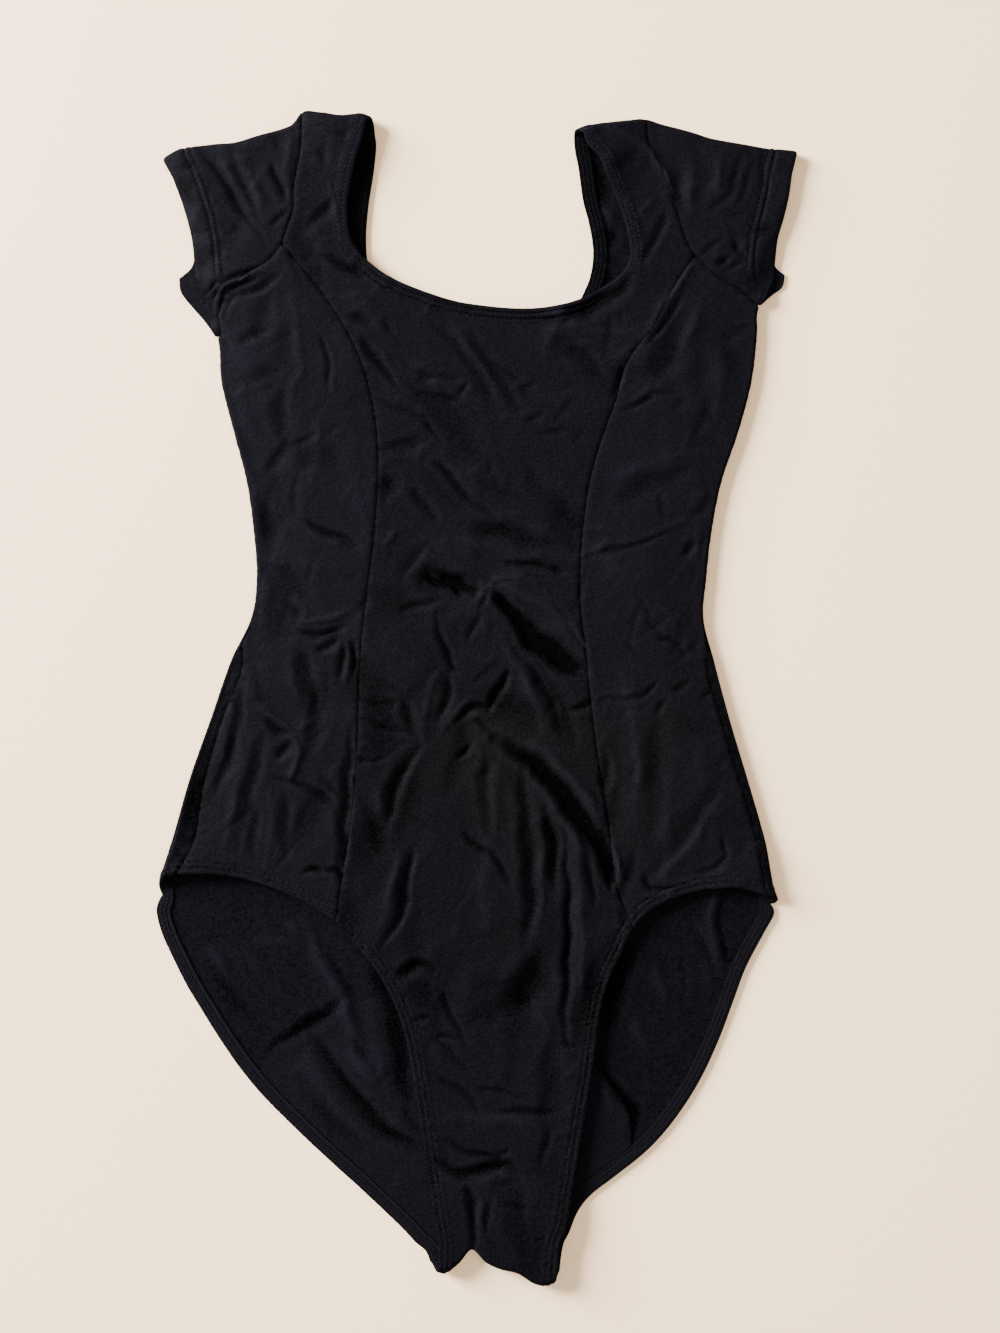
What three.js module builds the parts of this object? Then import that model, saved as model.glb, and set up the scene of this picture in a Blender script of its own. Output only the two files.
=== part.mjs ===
import * as THREE from 'three';

// A dance leotard with cap sleeves and a scoop neck, in thin black stretch knit, laid flat on its back.
// Millimetres. X runs across the garment, Y up towards the shoulders, Z up from the table it lies on.
// The garment is one flattened tube: the front lies on the back, and the cloth turns over along folds at the
// sides, the shoulders and the crotch. Each piece is cut from a flat pattern and bent round those folds.

// Driving sizes
const CLOTH = 1.0; // wall of every cut piece
const SEAM_GAP = 0.3; // between two pieces where they are sewn
const CASING_WIDTH = 8; // turned edge that holds the elastic
const CASING_CLOTH = 1.0;
const CASING_GAP = 0.45; // between a casing and the cloth it is sewn to
const HEM_DEPTH = 16; // turned hem of a sleeve
const HEM_EXTRA = 0.6; // how much thicker the cloth is there
const LAYER_SPACE = 3.2; // from the middle of the back cloth to the middle of the front cloth, at the sides
const LOFT = 1.3; // how much more that is away from the sides
const LOFT_REACH = 35; // how far in from the side the loft is full
const CASING_ROOM = 2.2; // extra space where a casing turns round a fold
const TURN_SPAN = 30; // length on the pattern that stands for a quarter turn round a fold
const TURN_GAP = 2.2; // half a seam's gap where the seam lies on the turn, on the pattern
const FRONT_SPACING = 10; // between neighbouring points of the front pieces
const BACK_SPACING = 16;
const SLEEVE_SPACING = 9;
const MIDDLE = CLOTH / 2; // height of the back cloth's middle over the table

// The sides of the body. left and right are the outermost lines of the cloth. seamLeft and seamRight say where
// the side seam lies: -30 on the outermost line, 0 where the top layer starts, and above 0 that far in on top.
const BODY_ROWS = [
  { y: -150, left: -226, right: 214, seamLeft: 6, seamRight: 2 },
  { y: -124, left: -195, right: 180, seamLeft: 6, seamRight: 2 },
  { y: -113, left: -183, right: 171.4, seamLeft: 6, seamRight: 2 },
  { y: -100, left: -179.5, right: 168.4, seamLeft: 6, seamRight: 2 },
  { y: -81, left: -173.5, right: 165, seamLeft: 10, seamRight: 3 },
  { y: -46, left: -163.6, right: 155, seamLeft: 7, seamRight: 3 },
  { y: -12, left: -151.6, right: 144.8, seamLeft: 5, seamRight: 3 },
  { y: 22, left: -139.7, right: 135.7, seamLeft: 5, seamRight: 2 },
  { y: 45, left: -128.8, right: 130, seamLeft: -14, seamRight: -16 },
  { y: 68, left: -125.2, right: 131.4, seamLeft: -30, seamRight: -30 },
  { y: 96, left: -127, right: 134.6, seamLeft: -30, seamRight: -30 },
  { y: 124, left: -131, right: 140.2, seamLeft: -30, seamRight: -30 },
  { y: 153, left: -138.5, right: 150, seamLeft: -30, seamRight: -30 },
  { y: 181, left: -145.4, right: 157.3, seamLeft: -30, seamRight: -30 },
  { y: 206, left: -147.4, right: 160.3, seamLeft: -30, seamRight: -30 },
  { y: 225, left: -156, right: 161.6, seamLeft: -30, seamRight: -30 },
  { y: 240, left: -164, right: 172, seamLeft: -30, seamRight: -30 },
];

// The fold over the shoulders and along the tops of the sleeves, left side and right side.
const TOP_LEFT_ROWS = [
  { x: -178.4, y: 308.7 },
  { x: -168, y: 313.6 },
  { x: -151.6, y: 316.1 },
  { x: -136.8, y: 317.4 },
  { x: -124.3, y: 321.2 },
  { x: -110.6, y: 325 },
  { x: -104, y: 328 },
  { x: -99, y: 334.3 },
  { x: -88.9, y: 334.3 },
  { x: -77.5, y: 332.6 },
  { x: -66, y: 333.3 },
  { x: -58, y: 330.5 },
];
const TOP_RIGHT_ROWS = [
  { x: 55, y: 323.2 },
  { x: 65, y: 326.9 },
  { x: 83, y: 329.2 },
  { x: 96.3, y: 330.3 },
  { x: 106, y: 327.5 },
  { x: 122, y: 323.4 },
  { x: 134.5, y: 319.5 },
  { x: 150.5, y: 316.6 },
  { x: 167.6, y: 313.8 },
  { x: 183, y: 312.1 },
];

// The fold under the crotch, with its small notch.
const CROTCH_ROWS = [
  { x: -24, y: -325.5 },
  { x: -18, y: -327.4 },
  { x: -10, y: -322 },
  { x: -2.5, y: -314 },
  { x: 6, y: -321.5 },
  { x: 14, y: -325.3 },
  { x: 24, y: -327.8 },
  { x: 32, y: -333 },
  { x: 37, y: -334.6 },
  { x: 43, y: -333.6 },
  { x: 46, y: -331 },
];

// Ends of the shoulder seams and of the crotch seam.
const SHOULDER_LEFT = { arm: -99, neck: -59.5 };
const SHOULDER_RIGHT = { neck: 56.5, arm: 96.5 };
const CROTCH_SEAM = { left: -23, right: 45.5 };

// The front neck edge, from the left shoulder to the right one.
const FRONT_NECK_ROWS = [
  { x: -63, y: 325 },
  { x: -69, y: 304 },
  { x: -73, y: 283 },
  { x: -72.5, y: 267 },
  { x: -69, y: 258 },
  { x: -61.6, y: 249.4 },
  { x: -49, y: 240.3 },
  { x: -31.9, y: 232.8 },
  { x: -12, y: 226.6 },
  { x: 8, y: 223.4 },
  { x: 28, y: 222.2 },
  { x: 45, y: 223.7 },
  { x: 59.3, y: 227.6 },
  { x: 73.5, y: 235.1 },
  { x: 83.2, y: 242.5 },
  { x: 87.6, y: 252 },
  { x: 86.1, y: 265.9 },
  { x: 81.5, y: 281 },
  { x: 75, y: 296 },
  { x: 70, y: 308 },
  { x: 62, y: 318.5 },
];

// The back neck edge, deeper than the front one and hidden behind it, from the right shoulder to the left one.
const BACK_NECK_ROWS = [
  { x: 56, y: 318.5 },
  { x: 58.5, y: 303 },
  { x: 61, y: 285 },
  { x: 64.5, y: 271.6 },
  { x: 66.8, y: 257 },
  { x: 66, y: 245 },
  { x: 62, y: 233 },
  { x: 51, y: 214 },
  { x: 30, y: 197 },
  { x: 0, y: 190 },
  { x: -31, y: 198 },
  { x: -52, y: 220 },
  { x: -61, y: 246 },
  { x: -62.8, y: 262 },
  { x: -61.5, y: 281 },
  { x: -58.6, y: 300 },
  { x: -57, y: 316 },
  { x: -58, y: 325 },
];

// The armhole seams, from the shoulder down to the underarm.
const FRONT_ARMHOLE_LEFT_ROWS = [
  { x: -99.4, y: 318 },
  { x: -102.2, y: 301 },
  { x: -104, y: 289 },
  { x: -103.9, y: 279.6 },
  { x: -107.2, y: 269.3 },
  { x: -111.2, y: 258.5 },
  { x: -118.6, y: 249.4 },
  { x: -130, y: 242.5 },
  { x: -140.5, y: 236 },
  { x: -147, y: 226 },
];
const FRONT_ARMHOLE_RIGHT_ROWS = [
  { x: 98, y: 318.3 },
  { x: 102.8, y: 308 },
  { x: 109.4, y: 292.7 },
  { x: 114.6, y: 277.3 },
  { x: 118.8, y: 264 },
  { x: 123.7, y: 253.8 },
  { x: 134.5, y: 242.8 },
  { x: 144.8, y: 236.4 },
  { x: 153, y: 231.5 },
];
const BACK_ARMHOLE_LEFT_ROWS = [
  { x: -99.6, y: 318 },
  { x: -104, y: 292 },
  { x: -112, y: 266 },
  { x: -124, y: 243 },
  { x: -137, y: 226 },
];
const BACK_ARMHOLE_RIGHT_ROWS = [
  { x: 98.5, y: 316 },
  { x: 104, y: 292 },
  { x: 113, y: 268 },
  { x: 127, y: 248 },
  { x: 143, y: 235 },
];

// The princess seams of the front, from the armhole down to the leg edge.
const PRINCESS_LEFT_ROWS = [
  { x: -111.2, y: 258.5 },
  { x: -100.3, y: 246.5 },
  { x: -88.9, y: 232.8 },
  { x: -77.5, y: 215.7 },
  { x: -68.5, y: 199 },
  { x: -62, y: 181 },
  { x: -57.5, y: 160 },
  { x: -55.8, y: 138 },
  { x: -56.6, y: 112 },
  { x: -59, y: 85 },
  { x: -63, y: 54 },
  { x: -66.3, y: 20 },
  { x: -67.5, y: -20 },
  { x: -70, y: -58 },
  { x: -74, y: -86 },
  { x: -80.5, y: -126.4 },
];
const PRINCESS_RIGHT_ROWS = [
  { x: 125, y: 252 },
  { x: 116.3, y: 240.2 },
  { x: 108.9, y: 227.1 },
  { x: 100.3, y: 210.8 },
  { x: 89, y: 196.5 },
  { x: 83.2, y: 184 },
  { x: 80, y: 171 },
  { x: 71, y: 146 },
  { x: 64.5, y: 122 },
  { x: 60.5, y: 92 },
  { x: 59.3, y: 58 },
  { x: 62.5, y: 28 },
  { x: 65, y: 2 },
  { x: 69, y: -30 },
  { x: 75.5, y: -70 },
  { x: 79.5, y: -104 },
  { x: 87.6, y: -130 },
];

// The front leg edges, from the side seam down to the crotch.
const FRONT_LEG_LEFT_ROWS = [
  { x: -169.5, y: -100.3 },
  { x: -154.5, y: -99.6 },
  { x: -137.4, y: -101.7 },
  { x: -122, y: -105.7 },
  { x: -106, y: -112 },
  { x: -93.5, y: -118.4 },
  { x: -80.5, y: -126.4 },
  { x: -74.1, y: -134.2 },
  { x: -65, y: -144.5 },
  { x: -55.9, y: -156.5 },
  { x: -47.9, y: -171 },
  { x: -41.5, y: -188 },
  { x: -37.3, y: -206.5 },
  { x: -34.2, y: -226 },
  { x: -31.2, y: -246 },
  { x: -27.9, y: -268.8 },
  { x: -24.5, y: -291.6 },
  { x: -21.5, y: -312 },
];
const FRONT_LEG_RIGHT_ROWS = [
  { x: 163.6, y: -112.5 },
  { x: 149, y: -107.6 },
  { x: 136.2, y: -108.2 },
  { x: 124.8, y: -109.9 },
  { x: 113.4, y: -113.4 },
  { x: 102, y: -118.8 },
  { x: 95.2, y: -124 },
  { x: 87.6, y: -134.6 },
  { x: 82.5, y: -145.5 },
  { x: 77, y: -157 },
  { x: 73, y: -169.5 },
  { x: 70.2, y: -184 },
  { x: 67.8, y: -201 },
  { x: 65, y: -220.3 },
  { x: 61.6, y: -240.3 },
  { x: 58.2, y: -260.2 },
  { x: 55, y: -280.2 },
  { x: 51.6, y: -300 },
  { x: 47, y: -316 },
];

// The back leg edges, from where the side fold ends down to the crotch.
const BACK_LEG_LEFT_ROWS = [
  { x: -180, y: -112.5 },
  { x: -182.8, y: -121 },
  { x: -180.1, y: -133.1 },
  { x: -174.4, y: -146.2 },
  { x: -165.9, y: -163.3 },
  { x: -157.3, y: -177.6 },
  { x: -145.9, y: -195.8 },
  { x: -133.4, y: -213.5 },
  { x: -120.3, y: -228.9 },
  { x: -100.3, y: -248.8 },
  { x: -83.2, y: -264.8 },
  { x: -65, y: -281.3 },
  { x: -44.5, y: -300.7 },
  { x: -34.8, y: -311 },
  { x: -27, y: -320 },
];
const BACK_LEG_RIGHT_ROWS = [
  { x: 168.5, y: -117.5 },
  { x: 170.6, y: -123 },
  { x: 164.7, y: -134.2 },
  { x: 154.5, y: -153.6 },
  { x: 147.6, y: -171.9 },
  { x: 139.1, y: -194.7 },
  { x: 127.7, y: -219 },
  { x: 113.4, y: -241 },
  { x: 98, y: -258.4 },
  { x: 79.2, y: -273.5 },
  { x: 66.1, y: -283.6 },
  { x: 58.5, y: -293 },
  { x: 53.5, y: -305 },
  { x: 49, y: -317 },
];

// The sleeves' free edges: the cuffs from the top fold down, and the underarm edges from the cuff inwards.
const SLEEVE_LEFT = {
  frontCuff: [
    { x: -173.4, y: 297.5 },
    { x: -168.7, y: 285.3 },
    { x: -164.7, y: 272.7 },
    { x: -162, y: 260.2 },
    { x: -161, y: 249 },
    { x: -160.2, y: 241.5 },
  ],
  frontUnder: [
    { x: -160.2, y: 241.5 },
    { x: -157, y: 230 },
    { x: -153.6, y: 219 },
    { x: -149.5, y: 209.4 },
  ],
  backCuff: [
    { x: -173.2, y: 297 },
    { x: -168.4, y: 284 },
    { x: -164.2, y: 270 },
    { x: -161.5, y: 257 },
    { x: -162.4, y: 247 },
    { x: -169.8, y: 240 },
  ],
  backUnder: [
    { x: -169.8, y: 240 },
    { x: -168.7, y: 231.7 },
    { x: -161, y: 222 },
    { x: -154.5, y: 214.5 },
    { x: -149.6, y: 208.6 },
  ],
};
const SLEEVE_RIGHT = {
  frontCuff: [
    { x: 180.3, y: 299 },
    { x: 178.4, y: 286 },
    { x: 175.6, y: 274 },
    { x: 172.3, y: 262.5 },
    { x: 171, y: 251.1 },
    { x: 170.6, y: 244 },
  ],
  frontUnder: [
    { x: 170.6, y: 244 },
    { x: 168.5, y: 236 },
    { x: 163.4, y: 229.4 },
  ],
  backCuff: [
    { x: 180, y: 298 },
    { x: 177.6, y: 284 },
    { x: 174.6, y: 271 },
    { x: 171.2, y: 259 },
    { x: 170.6, y: 248 },
    { x: 176.6, y: 242 },
  ],
  backUnder: [
    { x: 176.6, y: 242 },
    { x: 175.2, y: 235 },
    { x: 169.5, y: 230.6 },
    { x: 163.6, y: 228.2 },
  ],
};

// The free edge of the crotch lining, seen inside the back through the leg openings, from left to right.
const LINING_EDGE_ROWS = [
  { x: -124, y: -212.5 },
  { x: -117.5, y: -200.5 },
  { x: -104.6, y: -193 },
  { x: -78, y: -177.5 },
  { x: -45, y: -167 },
  { x: -5, y: -164 },
  { x: 36, y: -178 },
  { x: 66, y: -206.5 },
  { x: 81.5, y: -225 },
  { x: 88.5, y: -240.5 },
  { x: 88.5, y: -256 },
];

// The largest folds in the front: each runs from (x1, y1) to (x2, y2), bows sideways by bow at its middle,
// is half as wide as half says, and rises or sinks by rise.
const FRONT_FOLDS = [
  { x1: 6, y1: 62, x2: 70, y2: 12, bow: -3, half: 7, rise: -2.6 },
  { x1: 17, y1: 70, x2: 66, y2: 30, bow: 3, half: 8, rise: 2.2 },
  { x1: 2, y1: 48, x2: 46, y2: 4, bow: -3, half: 8, rise: 2.0 },
  { x1: 14, y1: -19, x2: 78, y2: -97, bow: 8, half: 7, rise: -3.0 },
  { x1: 30, y1: -6, x2: 74, y2: -56, bow: 6, half: 8, rise: 1.8 },
  { x1: 10, y1: -34, x2: 50, y2: -78, bow: 4, half: 9, rise: 1.6 },
  { x1: -30, y1: 70, x2: 6, y2: 55, bow: 3, half: 7, rise: -2.4 },
  { x1: -13, y1: -8, x2: 17, y2: 15, bow: -5, half: 6, rise: -2.0 },
  { x1: 22, y1: -30, x2: 28, y2: -116, bow: 0, half: 6, rise: -1.4 },
  { x1: 36, y1: -62, x2: 42, y2: -146, bow: 2, half: 7, rise: 1.8 },
  { x1: 52, y1: -52, x2: 56, y2: -166, bow: 2, half: 6, rise: -1.8 },
  { x1: 67, y1: -84, x2: 62, y2: -178, bow: 0, half: 6, rise: 1.8 },
  { x1: 24, y1: 82, x2: 49, y2: 73, bow: 2, half: 6, rise: -1.8 },
  { x1: -99, y1: 101, x2: -72, y2: 91, bow: 0, half: 6, rise: -1.4 },
  { x1: -102, y1: 37, x2: -75, y2: 40, bow: 2, half: 6, rise: -1.4 },
  { x1: -52, y1: -55, x2: -30, y2: -21, bow: 0, half: 7, rise: -1.8 },
  { x1: -62, y1: 217, x2: -46, y2: 178, bow: 3, half: 7, rise: -1.6 },
  { x1: -88, y1: 250, x2: -62, y2: 242, bow: -2, half: 6, rise: -1.4 },
  { x1: -122, y1: 243, x2: -148, y2: 217, bow: -3, half: 6, rise: -1.5 },
  { x1: 123, y1: 244, x2: 94, y2: 204, bow: 2, half: 6, rise: 2.2 },
  { x1: 119, y1: 231, x2: 102, y2: 209, bow: 0, half: 6, rise: -1.6 },
  { x1: -15, y1: -267, x2: 17, y2: -257, bow: -2, half: 6, rise: -1.6 },
  { x1: -22, y1: -250, x2: 20, y2: -244, bow: 3, half: 7, rise: 1.4 },
  { x1: -6, y1: -280, x2: -3, y2: -312, bow: 0, half: 5, rise: -1.6 },
  { x1: -53, y1: -141, x2: -39, y2: -92, bow: -2, half: 6, rise: -1.6 },
  { x1: 79, y1: 290, x2: 90, y2: 253, bow: -4, half: 10, rise: 2.0 },
  { x1: -134, y1: 0, x2: -158, y2: -48, bow: 2, half: 8, rise: 1.4 },
  { x1: -40, y1: 134, x2: 14, y2: 101, bow: 0, half: 7, rise: -1.2 },
  { x1: -154, y1: 290, x2: -124, y2: 250, bow: 0, half: 6, rise: -1.4 },
  { x1: 144, y1: 296, x2: 131, y2: 262, bow: 2, half: 7, rise: 1.4 },
];

// The largest folds in the back, where it shows inside the leg openings.
const BACK_FOLDS = [
  { x1: -84, y1: -196, x2: -46, y2: -245, bow: -3, half: 8, rise: 1.6 },
  { x1: -118, y1: -150, x2: -86, y2: -182, bow: 2, half: 9, rise: 1.4 },
  { x1: 142, y1: -126, x2: 132, y2: -170, bow: 4, half: 8, rise: 1.5 },
  { x1: 108, y1: -150, x2: 94, y2: -200, bow: 3, half: 9, rise: 1.2 },
];

// A smooth function through a table's rows: column `to` against column `from`, held level past both ends.
function smooth(rows, from, to) {
  const last = rows.length - 1;
  const slopes = rows.map((row, i) => {
    const before = rows[Math.max(i - 1, 0)];
    const after = rows[Math.min(i + 1, last)];
    return (after[to] - before[to]) / (after[from] - before[from]);
  });
  return (at) => {
    let i = 0;
    while (i < last - 1 && at > rows[i + 1][from]) i += 1;
    const span = rows[i + 1][from] - rows[i][from];
    const t = THREE.MathUtils.clamp((at - rows[i][from]) / span, 0, 1);
    const back = 1 - t;
    const levels = (1 + 2 * t) * back * back * rows[i][to] + t * t * (3 - 2 * t) * rows[i + 1][to];
    return levels + t * back * span * (back * slopes[i] - t * slopes[i + 1]);
  };
}

const side = {
  left: smooth(BODY_ROWS, 'y', 'left'),
  right: smooth(BODY_ROWS, 'y', 'right'),
  seamLeft: smooth(BODY_ROWS, 'y', 'seamLeft'),
  seamRight: smooth(BODY_ROWS, 'y', 'seamRight'),
};
const topLeft = smooth(TOP_LEFT_ROWS, 'x', 'y');
const topRight = smooth(TOP_RIGHT_ROWS, 'x', 'y');
const crotch = smooth(CROTCH_ROWS, 'x', 'y');
const topFold = (x) => (x < 0 ? topLeft(x) : topRight(x));

// The height that a table's folds add at a point: round in section and fading out past both ends.
function foldRise(folds, x, y) {
  let sum = 0;
  for (const { x1, y1, x2, y2, bow, half, rise } of folds) {
    const length = Math.hypot(x2 - x1, y2 - y1);
    const ux = (x2 - x1) / length;
    const uy = (y2 - y1) / length;
    const along = (x - x1) * ux + (y - y1) * uy;
    const across = (y - y1) * ux - (x - x1) * uy;
    const share = THREE.MathUtils.clamp(along / length, 0, 1);
    const past = along - share * length;
    const off = across - 4 * bow * share * (1 - share);
    sum += rise * Math.exp(-(off * off + past * past) / (half * half));
  }
  return sum;
}

// How near a point is to a place, from 1 there to 0 at `reach` away.
function near(x, y, place, reach) {
  return 1 - THREE.MathUtils.smoothstep(Math.hypot(x - place.x, y - place.y), reach * 0.4, reach);
}

// Places where a casing turns round a fold, so that the two layers stand further apart.
const CASING_TURNS = [
  { x: -178, y: -106, reach: 45 },
  { x: 168, y: -114, reach: 45 },
  { x: -62, y: 328, reach: 45 },
  { x: 60, y: 322, reach: 45 },
  { x: -20, y: -322, reach: 60 },
  { x: 12, y: -322, reach: 60 },
  { x: 44, y: -322, reach: 60 },
];

const backHeight = (x, y) => MIDDLE + Math.max(foldRise(BACK_FOLDS, x, y), 0);

// How much of a sinking fold is left at a point: folds fade near a front edge, where a casing lies underneath.
function sinkShare(x, y) {
  const edges = [FRONT_NECK_ROWS, FRONT_LEG_LEFT_ROWS, FRONT_LEG_RIGHT_ROWS];
  const nearest = Math.min(...edges.map((rows) => distanceToLine(rows, false, x, y)));
  return THREE.MathUtils.smoothstep(nearest, 7, 18);
}

// From the middle of the back cloth to the middle of the front cloth.
function layerSpace(x, y) {
  const inward = Math.min(x - side.left(y), side.right(y) - x);
  const turns = Math.max(...CASING_TURNS.map((turn) => near(x, y, turn, turn.reach)));
  const level = LAYER_SPACE + LOFT * THREE.MathUtils.smoothstep(inward, 0, LOFT_REACH) + CASING_ROOM * turns;
  const rise = foldRise(FRONT_FOLDS, x, y) * THREE.MathUtils.smoothstep(inward, 3, 15);
  const folds = rise < 0 ? rise * sinkShare(x, y) : rise;
  const least = LAYER_SPACE - 0.4 + CASING_ROOM * turns;
  return Math.max(level + folds, least + 0.15 * folds);
}

// The underarm seam of each sleeve, where its front half is drawn down to its back half.
const UNDERARM_SEAMS = {
  left: { outer: SLEEVE_LEFT.frontUnder[0], inner: SLEEVE_LEFT.frontUnder[3] },
  right: { outer: SLEEVE_RIGHT.frontUnder[0], inner: SLEEVE_RIGHT.frontUnder[2] },
};

function sleeveSpace(x, y) {
  const { outer, inner } = x < 0 ? UNDERARM_SEAMS.left : UNDERARM_SEAMS.right;
  const length = Math.hypot(outer.x - inner.x, outer.y - inner.y);
  const ux = (outer.x - inner.x) / length;
  const uy = (outer.y - inner.y) / length;
  const along = (x - inner.x) * ux + (y - inner.y) * uy;
  const across = Math.abs((y - inner.y) * ux - (x - inner.x) * uy);
  const open = Math.max(
    THREE.MathUtils.smoothstep(across, 0, 14),
    1 - THREE.MathUtils.smoothstep(along, 0, 9),
  );
  return THREE.MathUtils.lerp(CLOTH + SEAM_GAP + 0.1, layerSpace(x, y), open);
}

// Where the flat part of a layer ends and the cloth starts to turn round a fold, and the radius of the turn.
function sideTurn(y, sign) {
  const edge = sign < 0 ? side.left(y) : side.right(y);
  const radius = layerSpace(edge - 3 * sign, y) / 2;
  return { start: edge - sign * (CLOTH / 2 + radius), radius };
}

function topTurn(x) {
  const edge = topFold(x);
  const radius = layerSpace(x, edge - 3) / 2;
  return { start: edge - CLOTH / 2 - radius, radius };
}

function crotchTurn(x) {
  const edge = crotch(x);
  const radius = layerSpace(x, edge + 3) / 2;
  return { start: edge + CLOTH / 2 + radius, radius };
}

// How far a pattern length past a turn's start reaches, and how much of the way to the other layer it has come.
function turned(past, radius) {
  const angle = Math.min(past / TURN_SPAN, 2) * (Math.PI / 2);
  return {
    reach: radius * Math.sin(angle) - Math.max(past - 2 * TURN_SPAN, 0),
    share: (1 - Math.cos(angle)) / 2,
    through: past >= 2 * TURN_SPAN,
  };
}

// The middle of the cloth at a pattern point. A piece starts on its own layer, and turns where its folds say.
function place(piece, p, q) {
  let x = p;
  let y = q;
  let levelX = p;
  let levelY = q;
  let share = 0;
  const sign = p < 0 ? -1 : 1;
  if (piece.turnsAtSides) {
    const turn = sideTurn(q, sign);
    const past = (p - turn.start) * sign;
    if (past > 0) {
      const bend = turned(past, turn.radius);
      x = turn.start + sign * bend.reach;
      levelX = bend.through ? x : turn.start;
      share = bend.share;
    }
  }
  if (piece.turnsOnTop && share === 0 && q > 200) {
    const turn = topTurn(p);
    const past = q - turn.start;
    if (past > 0) {
      const bend = turned(past, turn.radius);
      y = turn.start + bend.reach;
      levelY = bend.through ? y : turn.start;
      share = bend.share;
    }
  }
  if (piece.turnsAtCrotch && q < -300) {
    const turn = crotchTurn(p);
    const past = turn.start - q;
    if (past > 0) {
      const bend = turned(past, turn.radius);
      y = turn.start - bend.reach;
      levelY = bend.through ? y : turn.start;
      share = bend.share;
    }
  }
  const base = backHeight(levelX, levelY) + (piece.lift ?? 0);
  const space = piece.isSleeve ? sleeveSpace(levelX, levelY) : layerSpace(levelX, levelY);
  const up = piece.startsAtBack ? share : 1 - share;
  return new THREE.Vector3(x, y, base + space * up);
}

// The direction square to the cloth at a pattern point, on the side that faces the reader of the pattern.
function squareTo(piece, p, q) {
  const step = 0.4;
  const across = place(piece, p + step, q).sub(place(piece, p - step, q));
  const along = place(piece, p, q + step).sub(place(piece, p, q - step));
  return across.cross(along).normalize();
}

const point = (x, y) => new THREE.Vector2(x, y);

// A smooth curve through a table's rows, as evenly spaced points.
function curve(rows, spacing) {
  const line = new THREE.SplineCurve(rows.map(({ x, y }) => point(x, y)));
  return line.getSpacedPoints(Math.max(1, Math.round(line.getLength() / spacing)));
}

// A straight-sided line through points, resampled evenly.
function straight(points, spacing) {
  const path = new THREE.CurvePath();
  for (let i = 1; i < points.length; i += 1) path.add(new THREE.LineCurve(points[i - 1], points[i]));
  return path.getSpacedPoints(Math.max(1, Math.round(path.getLength() / spacing)));
}

// Cuts a line at its point nearest to a place, and returns the two parts, which share that point.
function splitAt(line, target) {
  const distances = line.map((item) => item.distanceTo(target));
  const cut = distances.indexOf(Math.min(...distances));
  return [line.slice(0, cut + 1), line.slice(cut)];
}

// One closed outline from lines that each start where the last one ended.
function joined(...lines) {
  const outline = [];
  for (const line of lines) {
    for (const item of line) {
      if (!outline.length || outline[outline.length - 1].distanceTo(item) > 0.5) outline.push(item);
    }
  }
  if (outline[0].distanceTo(outline[outline.length - 1]) < 0.5) outline.pop();
  return outline;
}

// An outline drawn in by half a seam's gap.
function drawnIn(outline, by) {
  const count = outline.length;
  return outline.map((item, i) => {
    const before = outline[(i + count - 1) % count];
    const after = outline[(i + 1) % count];
    const first = item.clone().sub(before).normalize();
    const second = after.clone().sub(item).normalize();
    const inward = point(-first.y - second.y, first.x + second.x).normalize();
    const turn = Math.max(inward.x * -second.y + inward.y * second.x, 0.5);
    return item.clone().addScaledVector(inward, by / turn);
  });
}

function isInside(outline, x, y) {
  let inside = false;
  for (let i = 0, j = outline.length - 1; i < outline.length; j = i, i += 1) {
    const a = outline[i];
    const b = outline[j];
    if (a.y > y !== b.y > y && x < ((b.x - a.x) * (y - a.y)) / (b.y - a.y) + a.x) inside = !inside;
  }
  return inside;
}

function distanceToLine(line, closed, x, y) {
  let least = Infinity;
  for (let i = closed ? 0 : 1; i < line.length; i += 1) {
    const a = line[(i + line.length - 1) % line.length];
    const b = line[i];
    const dx = b.x - a.x;
    const dy = b.y - a.y;
    const t = THREE.MathUtils.clamp(((x - a.x) * dx + (y - a.y) * dy) / (dx * dx + dy * dy), 0, 1);
    least = Math.min(least, Math.hypot(x - a.x - t * dx, y - a.y - t * dy));
  }
  return least;
}

// Points on a staggered grid inside an outline, clear of it and of the rows that were set by hand.
function gridInside(outline, rows, spacing) {
  const points = [];
  const low = point(Infinity, Infinity);
  const high = point(-Infinity, -Infinity);
  for (const item of outline) {
    low.min(item);
    high.max(item);
  }
  const rise = spacing * Math.sqrt(0.75);
  for (let row = Math.ceil(low.y / rise); row * rise < high.y; row += 1) {
    const shift = row % 2 === 0 ? 0 : spacing / 2;
    for (let column = Math.floor(low.x / spacing); column * spacing < high.x; column += 1) {
      const x = column * spacing + shift;
      const y = row * rise;
      const clear = 0.6 * spacing;
      if (!isInside(outline, x, y) || distanceToLine(outline, true, x, y) < clear) continue;
      if (rows.some((line) => distanceToLine(line, false, x, y) < clear)) continue;
      points.push(point(x, y));
    }
  }
  return points;
}

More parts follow.
